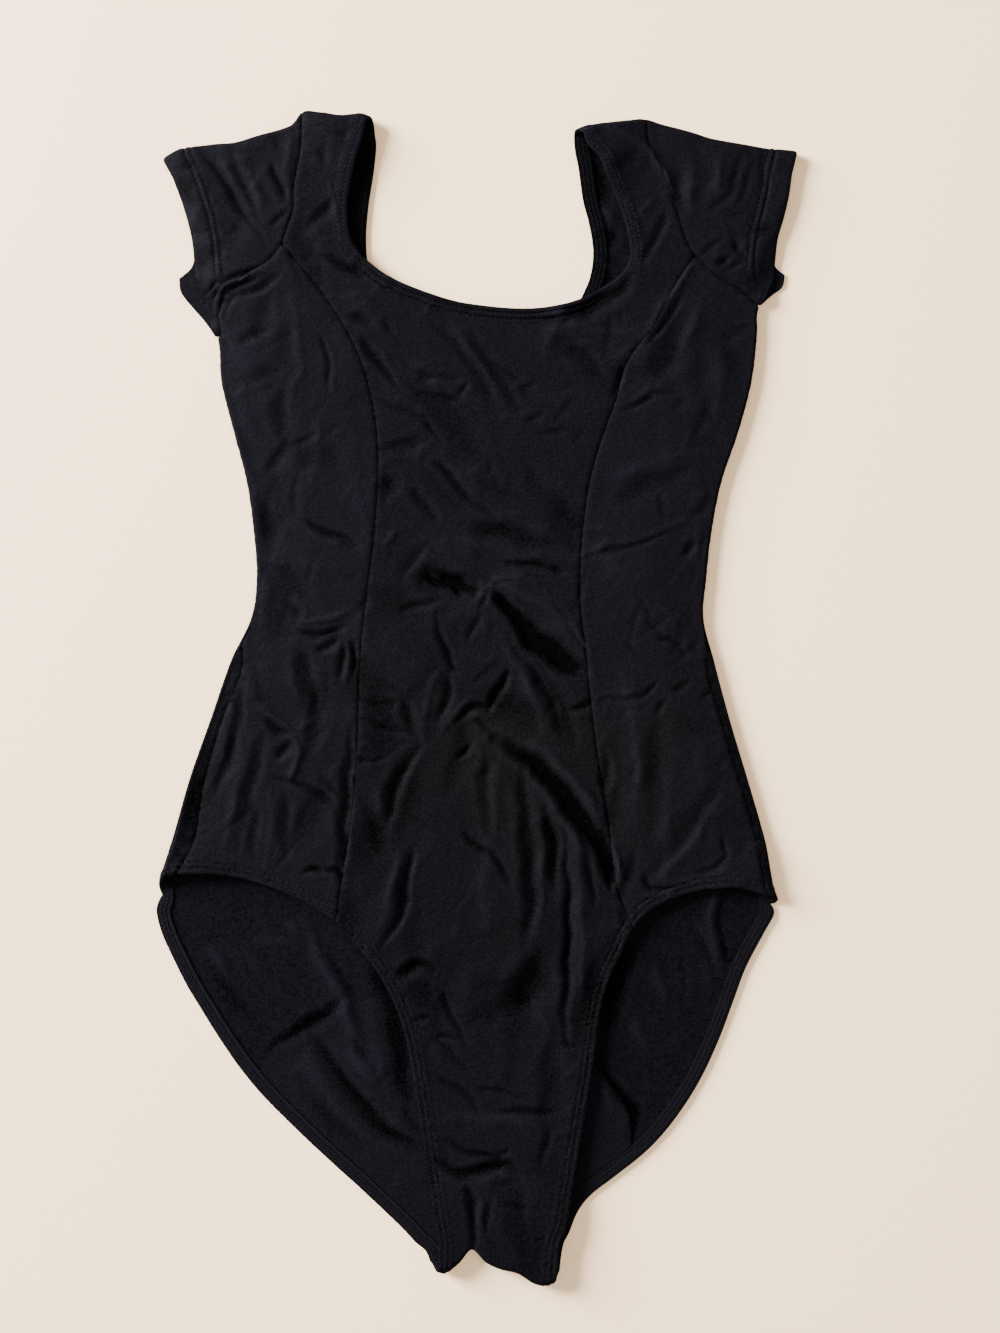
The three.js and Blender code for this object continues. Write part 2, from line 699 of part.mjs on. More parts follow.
// Joins points into triangles so that no point lies inside another triangle's circle.
function triangulate(points) {
  const far = 5000;
  const all = [...points, point(-far, -far), point(far, -far), point(0, far)];
  const withCircle = (a, b, c) => {
    const [A, B, C] = [all[a], all[b], all[c]];
    const d = 2 * (A.x * (B.y - C.y) + B.x * (C.y - A.y) + C.x * (A.y - B.y));
    const [aa, bb, cc] = [A.lengthSq(), B.lengthSq(), C.lengthSq()];
    const x = (aa * (B.y - C.y) + bb * (C.y - A.y) + cc * (A.y - B.y)) / d;
    const y = (aa * (C.x - B.x) + bb * (A.x - C.x) + cc * (B.x - A.x)) / d;
    return { corners: [a, b, c], x, y, reach: Math.hypot(A.x - x, A.y - y) };
  };
  let triangles = [withCircle(points.length, points.length + 1, points.length + 2)];
  points.forEach((item, index) => {
    const hit = (t) => Math.hypot(item.x - t.x, item.y - t.y) < t.reach - 1e-9;
    const edges = new Map();
    for (const { corners } of triangles.filter(hit)) {
      for (let i = 0; i < 3; i += 1) {
        const [a, b] = [corners[i], corners[(i + 1) % 3]];
        if (edges.has(`${b},${a}`)) edges.delete(`${b},${a}`);
        else edges.set(`${a},${b}`, [a, b]);
      }
    }
    triangles = triangles.filter((t) => !hit(t));
    for (const [a, b] of edges.values()) triangles.push(withCircle(a, b, index));
  });
  return triangles.map((t) => t.corners).filter((corners) => corners.every((i) => i < points.length));
}

// The triangles of a flat pattern piece: its outline, the rows set by hand, and a grid between them.
function patternMesh(outline, rows, spacing) {
  const points = [...outline, ...rows.flat(), ...gridInside(outline, rows, spacing)];
  const triangles = triangulate(points).filter((corners) => {
    const x = corners.reduce((sum, i) => sum + points[i].x, 0) / 3;
    const y = corners.reduce((sum, i) => sum + points[i].y, 0) / 3;
    return isInside(outline, x, y);
  });
  return { points, triangles };
}

// A closed wall between two skins: the same triangles twice, and a rim along the outline's points.
function wallGeometry(upper, lower, triangles, rim) {
  const count = upper.length;
  const corners = [];
  for (const [a, b, c] of triangles) corners.push(a, b, c, count + a, count + c, count + b);
  rim.forEach((a, i) => {
    const b = rim[(i + 1) % rim.length];
    corners.push(count + a, count + b, b, count + a, b, a);
  });
  const geometry = new THREE.BufferGeometry();
  const flat = [...upper, ...lower].flatMap((item) => [item.x, item.y, item.z]);
  geometry.setAttribute('position', new THREE.Float32BufferAttribute(flat, 3));
  geometry.setIndex(corners);
  geometry.computeVertexNormals();
  return geometry;
}

// A cut piece of cloth: each pattern point is placed and moved half the wall out to either side. A hem makes
// the wall thicker on its upper side.
function clothGeometry(piece, outline, rows, spacing, hem = () => 0) {
  const { points, triangles } = patternMesh(outline, rows, spacing);
  const upper = [];
  const lower = [];
  for (const { x, y } of points) {
    const middle = place(piece, x, y);
    const out = squareTo(piece, x, y);
    upper.push(middle.clone().addScaledVector(out, CLOTH / 2 + hem(x, y) * Math.max(out.z, 0)));
    lower.push(middle.clone().addScaledVector(out, -CLOTH / 2));
  }
  return wallGeometry(upper, lower, triangles, outline.map((_, i) => i));
}

// The second row of a casing: the edge's points, moved to the left of the line by the casing's width. Its ends
// lie on the seams that the casing runs into.
function innerRow(line, width, first, last) {
  const row = line.map((item, i) => {
    const before = line[Math.max(i - 1, 0)];
    const after = line[Math.min(i + 1, line.length - 1)];
    const along = after.clone().sub(before).normalize();
    return point(item.x - along.y * width, item.y + along.x * width);
  });
  if (first) row[0] = first;
  if (last) row[row.length - 1] = last;
  return row;
}

// The turned casing inside an edge: a flat strip over the edge's own points, moved to the garment's inside.
// Each stretch follows one piece. On the front its piece lies to the left of the line, on the back to the right.
function casingGeometry(stretches) {
  const upper = [];
  const lower = [];
  const flat = [];
  for (const { piece, line, first, last } of stretches) {
    const inside = piece.startsAtBack ? 1 : -1;
    const second = innerRow(line, -inside * CASING_WIDTH, first, last);
    line.forEach((item, i) => {
      if (i === 0 && upper.length) return;
      for (const { x, y } of [item.clone().lerp(second[i], 0.06), second[i]]) {
        const middle = place(piece, x, y);
        const inwards = squareTo(piece, x, y).multiplyScalar(inside);
        const start = CLOTH / 2 + CASING_GAP;
        upper.push(middle.clone().addScaledVector(inwards, start));
        lower.push(middle.clone().addScaledVector(inwards, start + CASING_CLOTH));
        flat.push(point(x, y));
      }
    });
  }
  const pairs = upper.length / 2;
  const triangles = [];
  const rim = [];
  for (let i = 0; i < pairs; i += 1) rim.push(2 * i);
  for (let i = pairs - 1; i >= 0; i -= 1) rim.push(2 * i + 1);
  for (let i = 0; i + 1 < pairs; i += 1) {
    const [a, b, c, d] = [2 * i, 2 * i + 2, 2 * i + 3, 2 * i + 1];
    const leaning = flat[a].distanceTo(flat[c]) < flat[b].distanceTo(flat[d]);
    triangles.push(...(leaning ? [[a, b, c], [a, c, d]] : [[a, b, d], [b, c, d]]));
  }
  return wallGeometry(upper, lower, triangles, rim);
}

// Layers and folds of each kind of piece
const FRONT_SIDE = { turnsAtSides: true };
const FRONT_CENTRE = { turnsOnTop: true, turnsAtCrotch: true };
const BACK = { startsAtBack: true, turnsAtSides: true, turnsOnTop: true, turnsAtCrotch: true };
const SLEEVE = { turnsOnTop: true, isSleeve: true };

// Seam lines on the pattern
const shoulderQ = (x) => topTurn(x).start + TURN_SPAN - TURN_GAP;
const crotchQ = (x) => crotchTurn(x).start - TURN_SPAN + TURN_GAP;
const underarm = { left: 206, right: 224 };

const onRow = (x, y) => ({ x, y });
const rowPoint = (row) => point(row.x, row.y);

// The front's lines
const frontNeck = curve(
  [
    onRow(SHOULDER_LEFT.neck, shoulderQ(SHOULDER_LEFT.neck)),
    ...FRONT_NECK_ROWS,
    onRow(SHOULDER_RIGHT.neck, shoulderQ(SHOULDER_RIGHT.neck)),
  ],
  FRONT_SPACING,
);
const backNeck = curve(
  [
    onRow(SHOULDER_RIGHT.neck, shoulderQ(SHOULDER_RIGHT.neck)),
    ...BACK_NECK_ROWS,
    onRow(SHOULDER_LEFT.neck, shoulderQ(SHOULDER_LEFT.neck)),
  ],
  FRONT_SPACING,
);

// A seam down one side: its points on the front's pattern and on the back's pattern.
function sideSeam(sign, bottom) {
  const top = sign < 0 ? underarm.left : underarm.right;
  const seam = sign < 0 ? side.seamLeft : side.seamRight;
  const steps = Math.round((top - bottom - CASING_WIDTH) / FRONT_SPACING);
  const front = [];
  const back = [];
  for (let i = 0; i <= steps + 1; i += 1) {
    const y = i > steps ? bottom : THREE.MathUtils.lerp(top, bottom + CASING_WIDTH, i / steps);
    const { start } = sideTurn(y, sign);
    const inset = Math.max(seam(y), -TURN_SPAN);
    const gap = TURN_GAP * THREE.MathUtils.clamp(-inset / 3, 0, 1);
    front.push(point(start - sign * (inset + gap), y));
    back.push(point(start + sign * (2 * TURN_SPAN + inset - gap), y));
  }
  return { front, back };
}
const leftSide = sideSeam(-1, FRONT_LEG_LEFT_ROWS[0].y);
const rightSide = sideSeam(1, FRONT_LEG_RIGHT_ROWS[0].y);
const lastOf = (line) => line[line.length - 1];

// An armhole on the front or the back: from the shoulder seam down to the underarm, then round the side fold.
function armhole(rows, x, sideTop, sign) {
  const fold = onRow(sideTurn(sideTop.y, sign).start, sideTop.y + 1);
  const down = curve([onRow(x, shoulderQ(x)), ...rows, fold], FRONT_SPACING);
  return [...down, ...straight([rowPoint(fold), sideTop], FRONT_SPACING).slice(1)];
}
const armLeft = armhole(FRONT_ARMHOLE_LEFT_ROWS, SHOULDER_LEFT.arm, leftSide.front[0], -1);
const armRight = armhole(FRONT_ARMHOLE_RIGHT_ROWS, SHOULDER_RIGHT.arm, rightSide.front[0], 1);
const backArmLeft = armhole(BACK_ARMHOLE_LEFT_ROWS, SHOULDER_LEFT.arm, leftSide.back[0], -1);
const backArmRight = armhole(BACK_ARMHOLE_RIGHT_ROWS, SHOULDER_RIGHT.arm, rightSide.back[0], 1);

const [armLeftUpper, armLeftLower] = splitAt(armLeft, rowPoint(PRINCESS_LEFT_ROWS[0]));
const [armRightUpper, armRightLower] = splitAt(armRight, rowPoint(PRINCESS_RIGHT_ROWS[0]));

function frontLeg(rows, start, x) {
  return curve([onRow(start.x, start.y), ...rows.slice(1), onRow(x, crotchQ(x))], FRONT_SPACING);
}
const legLeft = frontLeg(FRONT_LEG_LEFT_ROWS, lastOf(leftSide.front), CROTCH_SEAM.left);
const legRight = frontLeg(FRONT_LEG_RIGHT_ROWS, lastOf(rightSide.front), CROTCH_SEAM.right);
const [legLeftSide, legLeftCentre] = splitAt(legLeft, rowPoint(lastOf(PRINCESS_LEFT_ROWS)));
const [legRightSide, legRightCentre] = splitAt(legRight, rowPoint(lastOf(PRINCESS_RIGHT_ROWS)));

function princess(rows, top, bottom) {
  return curve([top, ...rows.slice(1, -1), bottom], FRONT_SPACING);
}
const princessLeft = princess(PRINCESS_LEFT_ROWS, armLeftLower[0], legLeftCentre[0]);
const princessRight = princess(PRINCESS_RIGHT_ROWS, armRightLower[0], legRightCentre[0]);

// The back's leg edges: from the side seam on top, round the side fold, and down to the crotch.
function backLeg(rows, start, x) {
  const turn = curve([start, rows[0]], FRONT_SPACING);
  const down = curve([...rows, onRow(x, crotchQ(x))], FRONT_SPACING);
  return [...turn, ...down.slice(1)];
}
const backLegLeft = backLeg(BACK_LEG_LEFT_ROWS, lastOf(leftSide.back), CROTCH_SEAM.left);
const backLegRight = backLeg(BACK_LEG_RIGHT_ROWS, lastOf(rightSide.back), CROTCH_SEAM.right);

const reversed = (line) => [...line].reverse();

// A seam along a fold, with a point a casing's width from each end named in `casings`.
function across(from, to, height, casings) {
  const step = CASING_WIDTH * Math.sign(to - from);
  const inner = [from + (casings.first ? step : 0), to - (casings.last ? step : 0)];
  const steps = Math.max(1, Math.round(Math.abs(inner[1] - inner[0]) / FRONT_SPACING));
  const xs = Array.from({ length: steps + 1 }, (_, i) => THREE.MathUtils.lerp(inner[0], inner[1], i / steps));
  if (casings.first) xs.unshift(from);
  if (casings.last) xs.push(to);
  return xs.map((x) => point(x, height(x)));
}
const shoulderLeft = across(SHOULDER_LEFT.neck, SHOULDER_LEFT.arm, shoulderQ, { first: true });
const shoulderRight = across(SHOULDER_RIGHT.arm, SHOULDER_RIGHT.neck, shoulderQ, { last: true });
const crotchSeam = across(CROTCH_SEAM.left, CROTCH_SEAM.right, crotchQ, { first: true, last: true });

// Colours
const material = (name, color, roughness) =>
  new THREE.MeshStandardMaterial({ name, color, roughness, metalness: 0, side: THREE.DoubleSide });
const stretchKnit = material('stretch_knit', 0x141318, 0.62);
const casingKnit = material('casing_knit', 0x0f0f13, 0.75);

const leotard = new THREE.Group();
function add(name, geometry, finish) {
  const mesh = new THREE.Mesh(geometry, finish);
  mesh.name = name;
  leotard.add(mesh);
}

const HALF_GAP = SEAM_GAP / 2;
const cutOut = (...lines) => drawnIn(joined(...lines), HALF_GAP);
const casingRow = (line) => innerRow(line, CASING_WIDTH).slice(1, -1);

// The front centre panel, with its two shoulder straps
const centreOutline = cutOut(
  crotchSeam,
  reversed(legRightCentre),
  reversed(princessRight),
  reversed(armRightUpper),
  shoulderRight,
  reversed(frontNeck),
  shoulderLeft,
  armLeftUpper,
  princessLeft,
  legLeftCentre,
);
const centreRows = [
  casingRow(reversed(legRightCentre)),
  casingRow(reversed(frontNeck)),
  casingRow(legLeftCentre),
];
add('front_centre', clothGeometry(FRONT_CENTRE, centreOutline, centreRows, FRONT_SPACING), stretchKnit);

// The two front side panels
const leftOutline = cutOut(reversed(princessLeft), armLeftLower, leftSide.front, legLeftSide);
add('front_side_left', clothGeometry(FRONT_SIDE, leftOutline, [casingRow(legLeftSide)], FRONT_SPACING), stretchKnit);
const rightOutline = cutOut(
  princessRight,
  reversed(legRightSide),
  reversed(rightSide.front),
  reversed(armRightLower),
);
add(
  'front_side_right',
  clothGeometry(FRONT_SIDE, rightOutline, [casingRow(reversed(legRightSide))], FRONT_SPACING),
  stretchKnit,
);

// The back panel
const backOutline = cutOut(
  crotchSeam,
  reversed(backLegRight),
  reversed(rightSide.back),
  reversed(backArmRight),
  shoulderRight,
  backNeck,
  shoulderLeft,
  backArmLeft,
  leftSide.back,
  backLegLeft,
);
const backRows = [casingRow(reversed(backLegRight)), casingRow(backNeck), casingRow(backLegLeft)];
add('back', clothGeometry(BACK, backOutline, backRows, BACK_SPACING), stretchKnit);

// The cap sleeves: each is one piece, folded over along its top, with its front half over its back half
const overTop = ({ x, y }) => point(x, 2 * topTurn(x).start + 2 * TURN_SPAN - y);

function sleeveGeometry(table, front, back, cuffX) {
  const [frontSeam] = splitAt(front, rowPoint(lastOf(table.frontUnder)));
  const [backSeam] = splitAt(back, rowPoint(lastOf(table.backUnder)));
  const { start } = topTurn(cuffX);
  const cuffFold = [start + 2 * TURN_SPAN, start].map((y) => point(cuffX, y));
  const outline = joined(
    reversed(frontSeam),
    backSeam.map(overTop),
    curve([lastOf(backSeam), ...reversed(table.backUnder).slice(1)], SLEEVE_SPACING).map(overTop),
    curve(reversed(table.backCuff), SLEEVE_SPACING).map(overTop),
    straight(cuffFold, SLEEVE_SPACING),
    curve(table.frontCuff, SLEEVE_SPACING),
    curve([...table.frontUnder.slice(0, -1), lastOf(frontSeam)], SLEEVE_SPACING),
  );
  const hem = (x, y) => {
    const deep = distanceToLine(table.frontCuff, false, x, y);
    return HEM_EXTRA * (1 - THREE.MathUtils.smoothstep(deep, HEM_DEPTH - 4, HEM_DEPTH + 2));
  };
  const facingUp = cuffX < 0 ? outline : reversed(outline);
  return clothGeometry(SLEEVE, drawnIn(facingUp, HALF_GAP), [], SLEEVE_SPACING, hem);
}
add('sleeve_left', sleeveGeometry(SLEEVE_LEFT, armLeft, backArmLeft, TOP_LEFT_ROWS[0].x), stretchKnit);
add('sleeve_right', sleeveGeometry(SLEEVE_RIGHT, armRight, backArmRight, lastOf(TOP_RIGHT_ROWS).x), stretchKnit);

// The elastic casings, one round the neck and one round each leg, each a strip whose two ends meet at a seam
add(
  'neck_casing',
  casingGeometry([
    { piece: FRONT_CENTRE, line: reversed(frontNeck), first: shoulderRight.at(-2), last: shoulderLeft[1] },
    { piece: BACK, line: reversed(backNeck), first: shoulderLeft[1], last: shoulderRight.at(-2) },
  ]),
  casingKnit,
);
add(
  'leg_casing_left',
  casingGeometry([
    { piece: BACK, line: reversed(backLegLeft), first: crotchSeam[1], last: leftSide.back.at(-2) },
    { piece: FRONT_SIDE, line: legLeftSide, first: leftSide.front.at(-2) },
    { piece: FRONT_CENTRE, line: legLeftCentre, last: crotchSeam[1] },
  ]),
  casingKnit,
);
add(
  'leg_casing_right',
  casingGeometry([
    { piece: FRONT_CENTRE, line: reversed(legRightCentre), first: crotchSeam.at(-2) },
    { piece: FRONT_SIDE, line: reversed(legRightSide), last: rightSide.front.at(-2) },
    { piece: BACK, line: backLegRight, first: rightSide.back.at(-2), last: crotchSeam.at(-2) },
  ]),
  casingKnit,
);

// The crotch lining, lying on the inside of the back between the two leg casings, with a free upper edge
const LINING = { startsAtBack: true, lift: CLOTH + CASING_GAP };
const liningFoot = (x) => crotchTurn(x).start + 7;
function besideCasing(backLeg, width, top, foot) {
  const [, line] = splitAt(innerRow(backLeg, width, undefined, foot), rowPoint(top));
  return straight(straight(line, 1).filter((item) => item.y > liningFoot(item.x)), FRONT_SPACING);
}
const liningLeft = besideCasing(backLegLeft, CASING_WIDTH, LINING_EDGE_ROWS[0], crotchSeam[1]);
const liningRight = besideCasing(backLegRight, -CASING_WIDTH, lastOf(LINING_EDGE_ROWS), crotchSeam.at(-2));
const liningOutline = joined(
  liningLeft,
  across(lastOf(liningLeft).x, lastOf(liningRight).x, liningFoot, {}),
  reversed(liningRight),
  curve([liningRight[0], ...reversed(LINING_EDGE_ROWS).slice(1, -1), liningLeft[0]], FRONT_SPACING),
);
add('gusset_lining', clothGeometry(LINING, drawnIn(liningOutline, 0.6), [], BACK_SPACING), casingKnit);

export default leotard;
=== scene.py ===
"""A short-sleeved dance leotard of thin black stretch knit, laid flat on its back on a pale table.

Flat patterns are in millimetres, with x across the garment, y up towards the shoulders and z up from the
table. Meshes are made in metres in the same frame.
"""

import math

import bmesh
import bpy
import numpy as np
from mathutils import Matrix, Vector
from mathutils.geometry import delaunay_2d_cdt
from mathutils.kdtree import KDTree


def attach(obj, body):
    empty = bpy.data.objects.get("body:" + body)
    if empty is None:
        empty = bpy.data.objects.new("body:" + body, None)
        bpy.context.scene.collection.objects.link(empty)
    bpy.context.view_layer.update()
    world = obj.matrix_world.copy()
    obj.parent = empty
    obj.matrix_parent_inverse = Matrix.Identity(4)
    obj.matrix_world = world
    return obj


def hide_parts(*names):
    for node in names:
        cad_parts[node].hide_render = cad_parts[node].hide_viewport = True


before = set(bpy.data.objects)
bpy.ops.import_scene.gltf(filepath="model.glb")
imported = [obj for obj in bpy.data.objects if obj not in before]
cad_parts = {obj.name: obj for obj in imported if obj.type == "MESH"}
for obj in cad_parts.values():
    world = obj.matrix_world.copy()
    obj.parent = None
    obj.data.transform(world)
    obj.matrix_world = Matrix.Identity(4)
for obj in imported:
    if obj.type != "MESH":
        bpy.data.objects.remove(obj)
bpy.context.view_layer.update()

# The camera hangs straight over the table. The picture is 1000 by 1333 pixels, and one of its pixels is
# 0.57 mm of the table. The garment's middle lies a little left of the picture's middle and below it.
PIXEL = 0.57
PICTURE = (1000, 1333)
MIDDLE_PIXEL = (476.0, 698.5)
CAMERA_HEIGHT = 1.05
SENSOR = 36.0
CLOTH_TOP = 0.004

camera = bpy.data.objects.new("overhead_camera", bpy.data.cameras.new("overhead_camera"))
bpy.context.scene.collection.objects.link(camera)
bpy.context.scene.camera = camera
camera.location = (
    (PICTURE[0] / 2 - MIDDLE_PIXEL[0]) * PIXEL / 1000,
    (MIDDLE_PIXEL[1] - PICTURE[1] / 2) * PIXEL / 1000,
    CAMERA_HEIGHT + CLOTH_TOP,
)
camera.data.sensor_width = SENSOR
camera.data.lens = SENSOR * CAMERA_HEIGHT * 1000 / (PICTURE[1] * PIXEL)
camera.data.clip_start = 0.01


# The table and the light. The table top is smooth, pale and slightly warm. A large soft lamp stands low to
# the upper left, so that folds are lit on that side and throw soft shadows to the lower right. A smaller one
# and the room fill the rest.
class Value:
    """One number output of a node, with the arithmetic that the materials use."""

    def __init__(self, nodes, socket):
        self.nodes = nodes
        self.socket = socket

    def _math(self, operation, first, second):
        return self.nodes.value("ShaderNodeMath", {"operation": operation}, {0: first, 1: second})

    def __add__(self, other):
        return self._math("ADD", self, other)

    def __radd__(self, other):
        return self._math("ADD", other, self)

    def __sub__(self, other):
        return self._math("SUBTRACT", self, other)

    def __rsub__(self, other):
        return self._math("SUBTRACT", other, self)

    def __mul__(self, other):
        return self._math("MULTIPLY", self, other)

    def __rmul__(self, other):
        return self._math("MULTIPLY", other, self)

    def clamped(self, low, high):
        return self._math("MINIMUM", self._math("MAXIMUM", self, low), high)


class Nodes:
    """Adds nodes to a tree: type, then settings, then values or links by socket name or number."""

    def __init__(self, tree):
        self.tree = tree

    def add(self, kind, settings=None, sockets=None):
        node = self.tree.nodes.new(kind)
        for name, setting in (settings or {}).items():
            setattr(node, name, setting)
        for name, given in (sockets or {}).items():
            if isinstance(given, Value):
                given = given.socket
            if isinstance(given, bpy.types.NodeSocket):
                self.tree.links.new(given, node.inputs[name])
            else:
                node.inputs[name].default_value = given
        return node

    def value(self, kind, settings=None, sockets=None, output=0):
        return Value(self, self.add(kind, settings, sockets).outputs[output])


def new_material(name):
    """A material with an empty tree, and the method that adds to it."""
    material = bpy.data.materials.new(name)
    material.use_nodes = True
    material.node_tree.nodes.clear()
    return material, Nodes(material.node_tree)


def finish_material(nodes, shader):
    nodes.add("ShaderNodeOutputMaterial", sockets={"Surface": shader.outputs[0]})


TABLE_COLOR = (0.98, 0.72, 0.45, 1.0)
TABLE_DARKER = (0.96, 0.695, 0.42, 1.0)
TABLE_HALF = 3.0
TABLE_DROP = 0.0005


def table_material():
    """A smooth pale laminate, very faintly clouded and grained."""
    material, nodes = new_material("pale_table")
    place = nodes.add("ShaderNodeTexCoord").outputs["Object"]
    cloud = nodes.value("ShaderNodeTexNoise", sockets={"Vector": place, "Scale": 1.6, "Detail": 3.0})
    tone = nodes.add(
        "ShaderNodeMix", {"data_type": "RGBA"}, {"Factor": cloud, 6: TABLE_COLOR, 7: TABLE_DARKER}
    )
    speckle = nodes.value("ShaderNodeTexNoise", sockets={"Vector": place, "Scale": 900.0, "Detail": 2.0})
    grain = nodes.add("ShaderNodeBump", sockets={"Strength": 0.06, "Distance": 0.0004, "Height": speckle})
    shader = nodes.add(
        "ShaderNodeBsdfPrincipled",
        sockets={"Base Color": tone.outputs[2], "Roughness": 0.55, "Normal": grain.outputs[0]},
    )
    finish_material(nodes, shader)
    return material


table = bpy.data.meshes.new("table_top")
corners = [(x * TABLE_HALF, y * TABLE_HALF, 0) for x, y in ((-1, -1), (1, -1), (1, 1), (-1, 1))]
table.from_pydata(corners, [], [(0, 1, 2, 3)])
table.materials.append(table_material())
table_top = bpy.data.objects.new("table_top", table)
table_top.location.z = -TABLE_DROP
bpy.context.scene.collection.objects.link(table_top)

LAMPS = (
    # name, place, size, watts, colour
    ("window_lamp", (-3.1, 1.6, 1.15), 1.7, 1400.0, (0.97, 0.98, 1.0)),
    ("room_lamp", (0.5, -0.4, 2.4), 2.4, 46.0, (1.0, 0.93, 0.86)),
)
for name, place, size, watts, color in LAMPS:
    lamp = bpy.data.objects.new(name, bpy.data.lights.new(name, "AREA"))
    lamp.data.size = size
    lamp.data.energy = watts
    lamp.data.color = color
    lamp.location = place
    lamp.rotation_euler = (-Vector(place)).to_track_quat("-Z", "Y").to_euler()
    bpy.context.scene.collection.objects.link(lamp)

world = bpy.data.worlds.new("room")
bpy.context.scene.world = world
world.use_nodes = True
world.node_tree.nodes["Background"].inputs["Color"].default_value = (1.0, 0.92, 0.82, 1.0)
world.node_tree.nodes["Background"].inputs["Strength"].default_value = 0.6


# The centre front, with both shoulder straps. It is cut from one layer of black nylon and elastane tricot,
# sewn to the side fronts, the sleeves and the back, and lies on the back. The knit creases softly where it
# was folded.

# The skins lie this far from the cloth's middle. The garment's two layers keep a space, which is wider in the
# middle and where a casing turns. A quarter turn over a fold takes up TURN_SPAN of the pattern.
OUTER_SKIN = 0.5
INNER_SKIN = 0.2
SEAM_GAP = 0.16
LAYER_SPACE = 3.2
LOFT = 1.3
LOFT_REACH = 35.0
CASING_ROOM = 2.2
LEAST_SPACE = 1.9
TURN_SPAN = 30.0
TURN_GAP = 2.2
LOW_MIDDLE = 0.5
FOLD_INSET = 3
TOP_TURNS_ABOVE = 200
CROTCH_TURNS_BELOW = -300
EDGE_FADE = (1, 8)
FINE = 2.0
FRONT_GRID = 1.6

# y, outermost line left, outermost line right, how far in the side seam lies left and right
BODY = np.array(
    [
        (-150, -226, 214, 6, 2),
        (-124, -195, 180, 6, 2),
        (-113, -183, 171.4, 6, 2),
        (-100, -179.5, 168.4, 6, 2),
        (-81, -173.5, 165, 10, 3),
        (-46, -163.6, 155, 7, 3),
        (-12, -151.6, 144.8, 5, 3),
        (22, -139.7, 135.7, 5, 2),
        (45, -128.8, 130, -14, -16),
        (68, -125.2, 131.4, -30, -30),
        (96, -127, 134.6, -30, -30),
        (124, -131, 140.2, -30, -30),
        (153, -138.5, 150, -30, -30),
        (181, -145.4, 157.3, -30, -30),
        (206, -147.4, 160.3, -30, -30),
        (225, -156, 161.6, -30, -30),
        (240, -164, 172, -30, -30),
    ]
)
# x, y of the fold over the shoulders and the sleeves
TOP_LEFT = np.array(
    [
        (-178.4, 308.7), (-168, 313.6), (-151.6, 316.1), (-136.8, 317.4), (-124.3, 321.2),
        (-110.6, 325), (-104, 328), (-99, 334.3), (-88.9, 334.3), (-77.5, 332.6), (-66, 333.3),
        (-58, 330.5),
    ]
)
TOP_RIGHT = np.array(
    [
        (55, 323.2), (65, 326.9), (83, 329.2), (96.3, 330.3), (106, 327.5), (122, 323.4),
        (134.5, 319.5), (150.5, 316.6), (167.6, 313.8), (183, 312.1),
    ]
)
# x, y of the fold under the crotch
CROTCH = np.array(
    [
        (-24, -325.5), (-18, -327.4), (-10, -322), (-2.5, -314), (6, -321.5), (14, -325.3),
        (24, -327.8), (32, -333), (37, -334.6), (43, -333.6), (46, -331),
    ]
)
# x, y, reach of the places where a casing turns round a fold
CASING_TURNS = (
    (-178, -106, 45),
    (168, -114, 45),
    (-62, 328, 45),
    (60, 322, 45),
    (-20, -322, 60),
    (12, -322, 60),
    (44, -322, 60),
)
FRONT_NECK = (
    (-63, 325), (-69, 304), (-73, 283), (-72.5, 267), (-69, 258), (-61.6, 249.4), (-49, 240.3),
    (-31.9, 232.8), (-12, 226.6), (8, 223.4), (28, 222.2), (45, 223.7), (59.3, 227.6),
    (73.5, 235.1), (83.2, 242.5), (87.6, 252), (86.1, 265.9), (81.5, 281), (75, 296), (70, 308),
    (62, 318.5),
)
ARMHOLE_LEFT = (
    (-99.4, 318), (-102.2, 301), (-104, 289), (-103.9, 279.6), (-107.2, 269.3), (-111.2, 258.5),
    (-118.6, 249.4), (-130, 242.5), (-140.5, 236), (-147, 226),
)
ARMHOLE_RIGHT = (
    (98, 318.3), (102.8, 308), (109.4, 292.7), (114.6, 277.3), (118.8, 264), (123.7, 253.8),
    (134.5, 242.8), (144.8, 236.4), (153, 231.5),
)
PRINCESS_LEFT = (
    (-111.2, 258.5), (-100.3, 246.5), (-88.9, 232.8), (-77.5, 215.7), (-68.5, 199), (-62, 181),
    (-57.5, 160), (-55.8, 138), (-56.6, 112), (-59, 85), (-63, 54), (-66.3, 20), (-67.5, -20),
    (-70, -58), (-74, -86), (-80.5, -126.4),
)
PRINCESS_RIGHT = (
    (125, 252), (116.3, 240.2), (108.9, 227.1), (100.3, 210.8), (89, 196.5), (83.2, 184),
    (80, 171), (71, 146), (64.5, 122), (60.5, 92), (59.3, 58), (62.5, 28), (65, 2), (69, -30),
    (75.5, -70), (79.5, -104), (87.6, -130),
)
LEG_LEFT = (
    (-169.5, -100.3), (-154.5, -99.6), (-137.4, -101.7), (-122, -105.7), (-106, -112),
    (-93.5, -118.4), (-80.5, -126.4), (-74.1, -134.2), (-65, -144.5), (-55.9, -156.5),
    (-47.9, -171), (-41.5, -188), (-37.3, -206.5), (-34.2, -226), (-31.2, -246), (-27.9, -268.8),
    (-24.5, -291.6), (-21.5, -312),
)
LEG_RIGHT = (
    (163.6, -112.5), (149, -107.6), (136.2, -108.2), (124.8, -109.9), (113.4, -113.4),
    (102, -118.8), (95.2, -124), (87.6, -134.6), (82.5, -145.5), (77, -157), (73, -169.5),
    (70.2, -184), (67.8, -201), (65, -220.3), (61.6, -240.3), (58.2, -260.2), (55, -280.2),
    (51.6, -300), (47, -316),
)
SHOULDER_LEFT = {"arm": -99.0, "neck": -59.5}
SHOULDER_RIGHT = {"neck": 56.5, "arm": 96.5}
